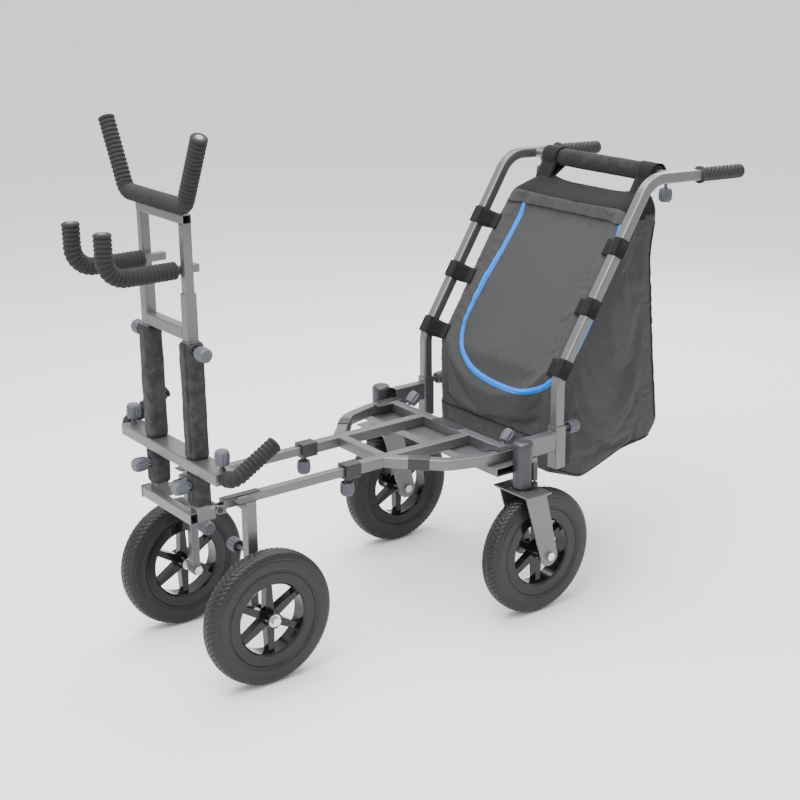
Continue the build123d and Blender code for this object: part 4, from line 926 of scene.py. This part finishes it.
slump(bag)
for vertex in bag.data.vertices:
    p = vertex.co
    p.y = max(-BAG_SIDE_LIMIT, min(BAG_SIDE_LIMIT, p.y))
    near_strap = abs(p.y) > 0.17
    if near_strap:
        limit = 0.0156
        behind = (p - Vector((UPRIGHT_X, p.y, HANDLE_KINK_Z))).dot(back_of_lean)
        if p.z > kink_z and behind < limit:
            vertex.co = p + back_of_lean * (limit - behind)
        elif p.z <= kink_z and p.x < front_x:
            vertex.co = Vector((front_x, p.y, p.z))
final = bag.modifiers.new("subdivide", "SUBSURF")
final.levels = 1
final.render_levels = 1
apply_all(bag)
bag.data.polygons.foreach_set("use_smooth", [True] * len(bag.data.polygons))
bag.data.materials.append(nylon)
bag.data.materials.append(band_web)
band_value = bag.data.attributes["band"].data
for polygon in bag.data.polygons:
    value = sum(band_value[i].value for i in polygon.vertices) / len(polygon.vertices)
    polygon.material_index = 1 if value > 0 else 0
finish_piece(bag, "handle", "bag_fabric", [], "bag")

bag_tree = BVHTree.FromPolygons([v.co.copy() for v in bag.data.vertices],
                                [tuple(p.vertices) for p in bag.data.polygons])


def on_bag(place, raise_by=0.0):
    """The nearest point on the bag's surface and the surface's direction there."""
    found, direction, _, _ = bag_tree.find_nearest(place)
    return found + direction * raise_by, direction


def front_place(y, z):
    """The point of the bag's front that is met from ahead at a distance from the middle and a height."""
    found = bag_tree.ray_cast(Vector((front_x - 0.1, y, z)), Vector((1, 0, 0)))[0]
    return found if found else Vector((max(front_x, slope_point(z).x), y, z))


def eased(line, rounds=2):
    """A line with its small jumps smoothed out."""
    for _ in range(rounds):
        line = [line[0]] + [(a + 2 * b + c) / 4 for a, b, c in zip(line, line[1:], line[2:])] + [line[-1]]
    return line


def seam_line(corners, step=0.004, raise_by=0.0004):
    """A line on the bag's surface through a few nominal places."""
    return eased([on_bag(p, raise_by)[0] for p in smooth_line(corners, step)])


def front_line(keys, step, rounds):
    """A line on the bag's front through (y, z) pairs."""
    flat = smooth_line([(0, y, z) for y, z in keys], step)
    return eased([front_place(p.y, p.z) for p in flat], rounds)


BACK_SEAM = ((1.078, 0.86), (1.067, 0.77), (1.088, 0.52), (1.106, 0.37))
LOW_SEAM = ((0.79, 0.30), (0.872, 0.268), (1.0, 0.312), (1.09, 0.325))
side_y = half_width - 0.001

# hem and low seam across the front, then the side, back and low seams on each side
seams = []
hem_z = top_z - BAG_HEM * lean.z
for height in (hem_z, BAG_LOW_SEAM_Z):
    seams.append(front_line([(y, height) for y in (-0.208, -0.1, 0.0, 0.1, 0.208)], 0.004, 2))
for end in (-1, 1):
    y = end * side_y
    seam_back = back_of_lean * BAG_SEAM_SETBACK
    run = [Vector((front_x + BAG_SEAM_SETBACK, y, z)) for z in (0.305, 0.37, 0.45, 0.52)]
    run += [slope_point(z) + seam_back + Vector((0, y, 0)) for z in (0.6, 0.68, 0.76, 0.83, 0.868)]
    seams.append(seam_line(run))
    for places in (BACK_SEAM, LOW_SEAM):
        seams.append(seam_line([Vector((AXLE_X + x, y, z)) for x, z in places]))
piping = new_piece("bag_seams", *joined([(tube_rings(line, 0.0016, 8), False) for line in seams]))
finish_piece(piping, "handle", "bag_fabric", [band_web])


def stitch_parts(line, gap, raise_by=0.0006):
    """Short thread stitches along a line on the bag."""
    parts = []
    points = evenly(line, gap)
    for a, b in zip(points, points[1:]):
        start, direction = on_bag(a.lerp(b, 0.15), raise_by)
        finish, _ = on_bag(a.lerp(b, 0.8), raise_by)
        middle = (start + finish) / 2 + direction * 0.0003
        parts.append((tube_rings([start, middle, finish], 0.00035, 5), False))
    return parts


stitches = []
for line in seams[:2]:
    shifted = [p - Vector((0, 0, 0.0045)) for p in line]
    stitches += stitch_parts(shifted, 0.0042)
for line in (seams[2], seams[5]):
    shifted = [p - back_of_lean * 0.006 for p in line]
    stitches += stitch_parts(shifted, 0.0042)
stitching = new_piece("bag_stitches", *joined(stitches))
finish_piece(stitching, "handle", "bag_fabric", [thread])


# ---------------------------------------------------------------- zip
ZIP_KEYS = [  # how far behind the front plane, distance from the middle, height
    (0, 0.145, hem_z), (0, 0.145, 0.820), (0, 0.150, 0.765), (0, 0.158, 0.700), (0, 0.163, 0.640),
    (0, 0.163, 0.590), (0, 0.152, 0.550), (0, 0.128, 0.515), (0, 0.085, 0.485), (0, 0.020, 0.470),
    (0, -0.060, 0.468), (0, -0.120, 0.478), (0, -0.162, 0.492), (0.006, -0.196, 0.515),
    (0.024, -0.222, 0.555), (0.031, -0.224, 0.600), (0.032, -0.224, 0.655), (0.020, -0.222, 0.720),
    (0.012, -0.216, 0.790), (0.006, -0.206, hem_z),
]


def zip_place(key):
    """Where the zip lies on the bag, on its front or round its edge."""
    depth, y, z = key
    if depth < 0.0015:
        return front_place(y, z)
    return on_bag(Vector((max(front_x, slope_point(z).x) + depth, y, z)))[0]


zip_line = eased([zip_place(p) for p in smooth_line(ZIP_KEYS, 0.003)], 8)
zip_heads = directions(zip_line)
tape_rings, coil_rings = [], []
for place, head in zip(zip_line, zip_heads):
    point, direction = on_bag(place)
    across = head.cross(direction).normalized()
    narrow = 1.0 - 0.35 * math.exp(-((point.z - 0.58) / 0.06) ** 2) * (1 if point.y > 0 else 0.3)
    ring = []
    for share, height in ((-1, 0.0003), (-0.92, 0.0013), (-0.25, 0.0016), (0, 0.0022), (0.25, 0.0016),
                          (0.92, 0.0013), (1, 0.0003)):
        spot = point + across * (share * narrow * ZIP_TAPE / 2)
        base, up = on_bag(spot)
        ring.append(base + up * height)
    ring += [p - direction * 0.0008 for p in reversed(ring)]
    tape_rings.append(ring)
    turns = [2 * math.pi * j / 8 for j in range(8)]
    coil = [ZIP_COIL * (math.cos(a) * across * 1.2 + math.sin(a) * direction) for a in turns]
    coil_rings.append([point + direction * 0.0016 + p for p in coil])
zip_piece = new_piece("bag_zip", *joined([(tape_rings, False), (coil_rings, False)]))
finish_piece(zip_piece, "handle", "strap_webbing", [zip_blue])


# ---------------------------------------------------------------- straps
def strap_loop(side, height):
    """A hook-and-loop strap: a band round the upright with an overlapped end, and a tab to the bag."""
    centre = Vector((UPRIGHT_X + (height - HANDLE_KINK_Z) * slope, side * UPRIGHT_Y, height))
    across = Vector((0, 1, 0))
    half = UPRIGHT_TUBE / 2 + 0.0004
    corner = 0.0055
    outline = square_ring(half + STRAP_THICK, corner + STRAP_THICK, 0.0022)[:-1]
    rows = 9
    parts = []

    def spot(p, s, out=0.0):
        return centre - back_of_lean * (-p.x) + across * p.y + lean * s

    rings = []
    for row in range(rows + 1):
        s = STRAP_LENGTH * (row / rows - 0.5)
        edge = 0.0004 * (1 - min(1.0, (STRAP_LENGTH / 2 - abs(s)) / 0.003))
        ring = []
        for p in outline:
            pucker = 0.0006 * noise.noise(Vector((p.x * 90, p.y * 90, height * 50 + s * 60)))
            ring.append(spot(p * (1 + (pucker - edge) / half), s))
        rings.append(ring)
    for s in (STRAP_LENGTH / 2, -STRAP_LENGTH / 2):
        scale = half / (half + STRAP_THICK)
        rings.append([spot(p * scale, s) for p in outline])
    parts.append((rings, True))

    # the free end, pressed on over the band's outer side
    flap = []
    flap_half = STRAP_LENGTH / 2 - 0.001
    steps = 10
    for i in range(steps + 1):
        t = i / steps
        y = side * (half + STRAP_THICK + 0.0009)
        x = -half + 2 * half * 0.86 * t
        lift = 0.0012 * t ** 4
        ring = []
        for s, out in ((-flap_half, 0), (flap_half, 0), (flap_half, 1), (-flap_half, 1)):
            outward = across * (y + side * (lift + out * STRAP_THICK))
            ring.append(centre + back_of_lean * x + outward + lean * s)
        flap.append(ring if side > 0 else ring[::-1])
    parts.append((flap, False))

    # the tab between the upright and the bag's front panel
    tab = []
    for i in range(13):
        t = i / 12
        y = side * (UPRIGHT_Y - half - STRAP_TAB * t)
        x = half + STRAP_THICK * 0.5 + 0.0006 * math.sin(math.pi * t)
        closing = min(1.0, t / 0.5)
        front = -half * 0.8 * (1 - closing) + (x - STRAP_THICK / 2) * closing
        ring = []
        for s_share in (-1, -0.5, 0, 0.5, 1):
            s = s_share * (STRAP_LENGTH / 2 - 0.0015 * t)
            ring.append(Vector((centre.x, y, centre.z)) + back_of_lean * front + lean * s)
        for s_share in (1, 0.5, 0, -0.5, -1):
            s = s_share * (STRAP_LENGTH / 2 - 0.0015 * t)
            ring.append(Vector((centre.x, y, centre.z)) + back_of_lean * (x + STRAP_THICK / 2) + lean * s)
        tab.append(ring if side > 0 else ring[::-1])
    parts.append((tab, False))
    return parts


def bar_loop(side):
    """A wide strap round the padded bar whose two layers meet and are sewn to the bag's top."""
    centre = (bar_pad_low + bar_pad_high) / 2
    radius = (bar_pad_high.z - bar_pad_low.z) / 2 + 0.0006
    foot_x = (front_top.x + AXLE_X + 1.095) / 2 + 0.022
    foot = Vector((foot_x, 0, top_z + 0.014))
    line = []
    start, stop = math.radians(205), math.radians(-52)
    for i in range(29):
        a = start + (stop - start) * i / 28
        line.append(Vector((centre.x + radius * math.cos(a), 0, centre.z + radius * math.sin(a))))
    front_down = [foot.lerp(line[0], t) for t in (0.0, 0.2, 0.4, 0.6, 0.8)]
    rear_foot = foot + Vector((0.004, 0, 0.0))
    back_down = [line[-1].lerp(rear_foot, t) for t in (0.2, 0.4, 0.6, 0.8, 1.0)]
    line = front_down + line + back_down
    heads = directions(line)
    half = BAR_STRAP_WIDTH / 2
    rings = []
    for index, (place, head) in enumerate(zip(line, heads)):
        out = Vector((-head.z, 0, head.x))
        shares = (-1, -0.6, -0.2, 0.2, 0.6, 1)
        ring = []
        for share in shares:
            wave = 0.0007 * noise.noise(Vector((index * 0.35, share * 1.5, side * 3)))
            sideways = Vector((0, side * BAR_STRAP_Y + share * half, 0))
            ring.append(place + out * (STRAP_THICK + wave) + sideways)
        for share in reversed(shares):
            ring.append(place + Vector((0, side * BAR_STRAP_Y + share * half, 0)))
        rings.append(ring)
    return [(rings, False)]


strap_parts = []
for side in (-1, 1):
    for height in STRAP_HEIGHTS:
        strap_parts += strap_loop(side, height)
    strap_parts += bar_loop(side)
straps = new_piece("bag_strap_set", *joined(strap_parts))
finish_piece(straps, "handle", "strap_webbing", [strap_web], "bag_straps")

# ---------------------------------------------------------------- floor, light and camera
floor_corners = [(-FLOOR_HALF, -FLOOR_HALF, 0), (FLOOR_HALF, -FLOOR_HALF, 0),
                 (FLOOR_HALF, FLOOR_HALF, 0), (-FLOOR_HALF, FLOOR_HALF, 0)]
floor = new_piece("studio_floor", floor_corners, [(0, 1, 2, 3)], False)
floor_finish = Finish("floor_white", (0.86, 0.86, 0.86), 0.75)
floor_finish.colour(floor_finish.blend(floor_finish.noise(0.6, 2), (0.85, 0.85, 0.85), (0.87, 0.87, 0.87)))
floor.data.materials.append(floor_finish.material)

world = bpy.data.worlds.new("studio")
bpy.context.scene.world = world
world.use_nodes = True
world.node_tree.nodes["Background"].inputs["Color"].default_value = (1, 1, 1, 1)
world.node_tree.nodes["Background"].inputs["Strength"].default_value = SKY_STRENGTH


def soft_light(name, place, target, size, power):
    lamp = bpy.data.lights.new(name, "AREA")
    lamp.shape = "RECTANGLE"
    lamp.size, lamp.size_y = size
    lamp.energy = power
    holder = bpy.data.objects.new(name, lamp)
    bpy.context.scene.collection.objects.link(holder)
    holder.location = place
    holder.rotation_euler = (Vector(target) - Vector(place)).to_track_quat("-Z", "Y").to_euler()


soft_light("key", (-1.6, -0.6, 3.2), (0.1, 0, 0.4), (2.6, 2.0), 150)
soft_light("top", (0.6, 0.8, 3.4), (0, 0, 0.4), (3.0, 2.4), 130)
soft_light("rim", (2.8, 1.2, 1.8), (0.2, 0, 0.6), (1.6, 1.6), 30)

CAMERA_PLACE = Vector((-2.0326, -2.6823, 1.5766))
AZIMUTH = math.radians(-36.63)
ELEVATION = math.radians(18.13)
ROLL = math.radians(-0.616)
back = Vector((math.sin(AZIMUTH) * math.cos(ELEVATION), -math.cos(AZIMUTH) * math.cos(ELEVATION),
               math.sin(ELEVATION)))
level = Vector((math.cos(AZIMUTH), math.sin(AZIMUTH), 0))
above = back.cross(level)
right = math.cos(ROLL) * level + math.sin(ROLL) * above
up = math.cos(ROLL) * above - math.sin(ROLL) * level
lens = bpy.data.cameras.new("camera")
lens.lens = CAMERA_LENS_MM
lens.sensor_width = CAMERA_SENSOR_MM
camera = bpy.data.objects.new("camera", lens)
bpy.context.scene.collection.objects.link(camera)
camera.matrix_world = Matrix.Translation(CAMERA_PLACE) @ Matrix((right, up, back)).transposed().to_4x4()
bpy.context.scene.camera = camera
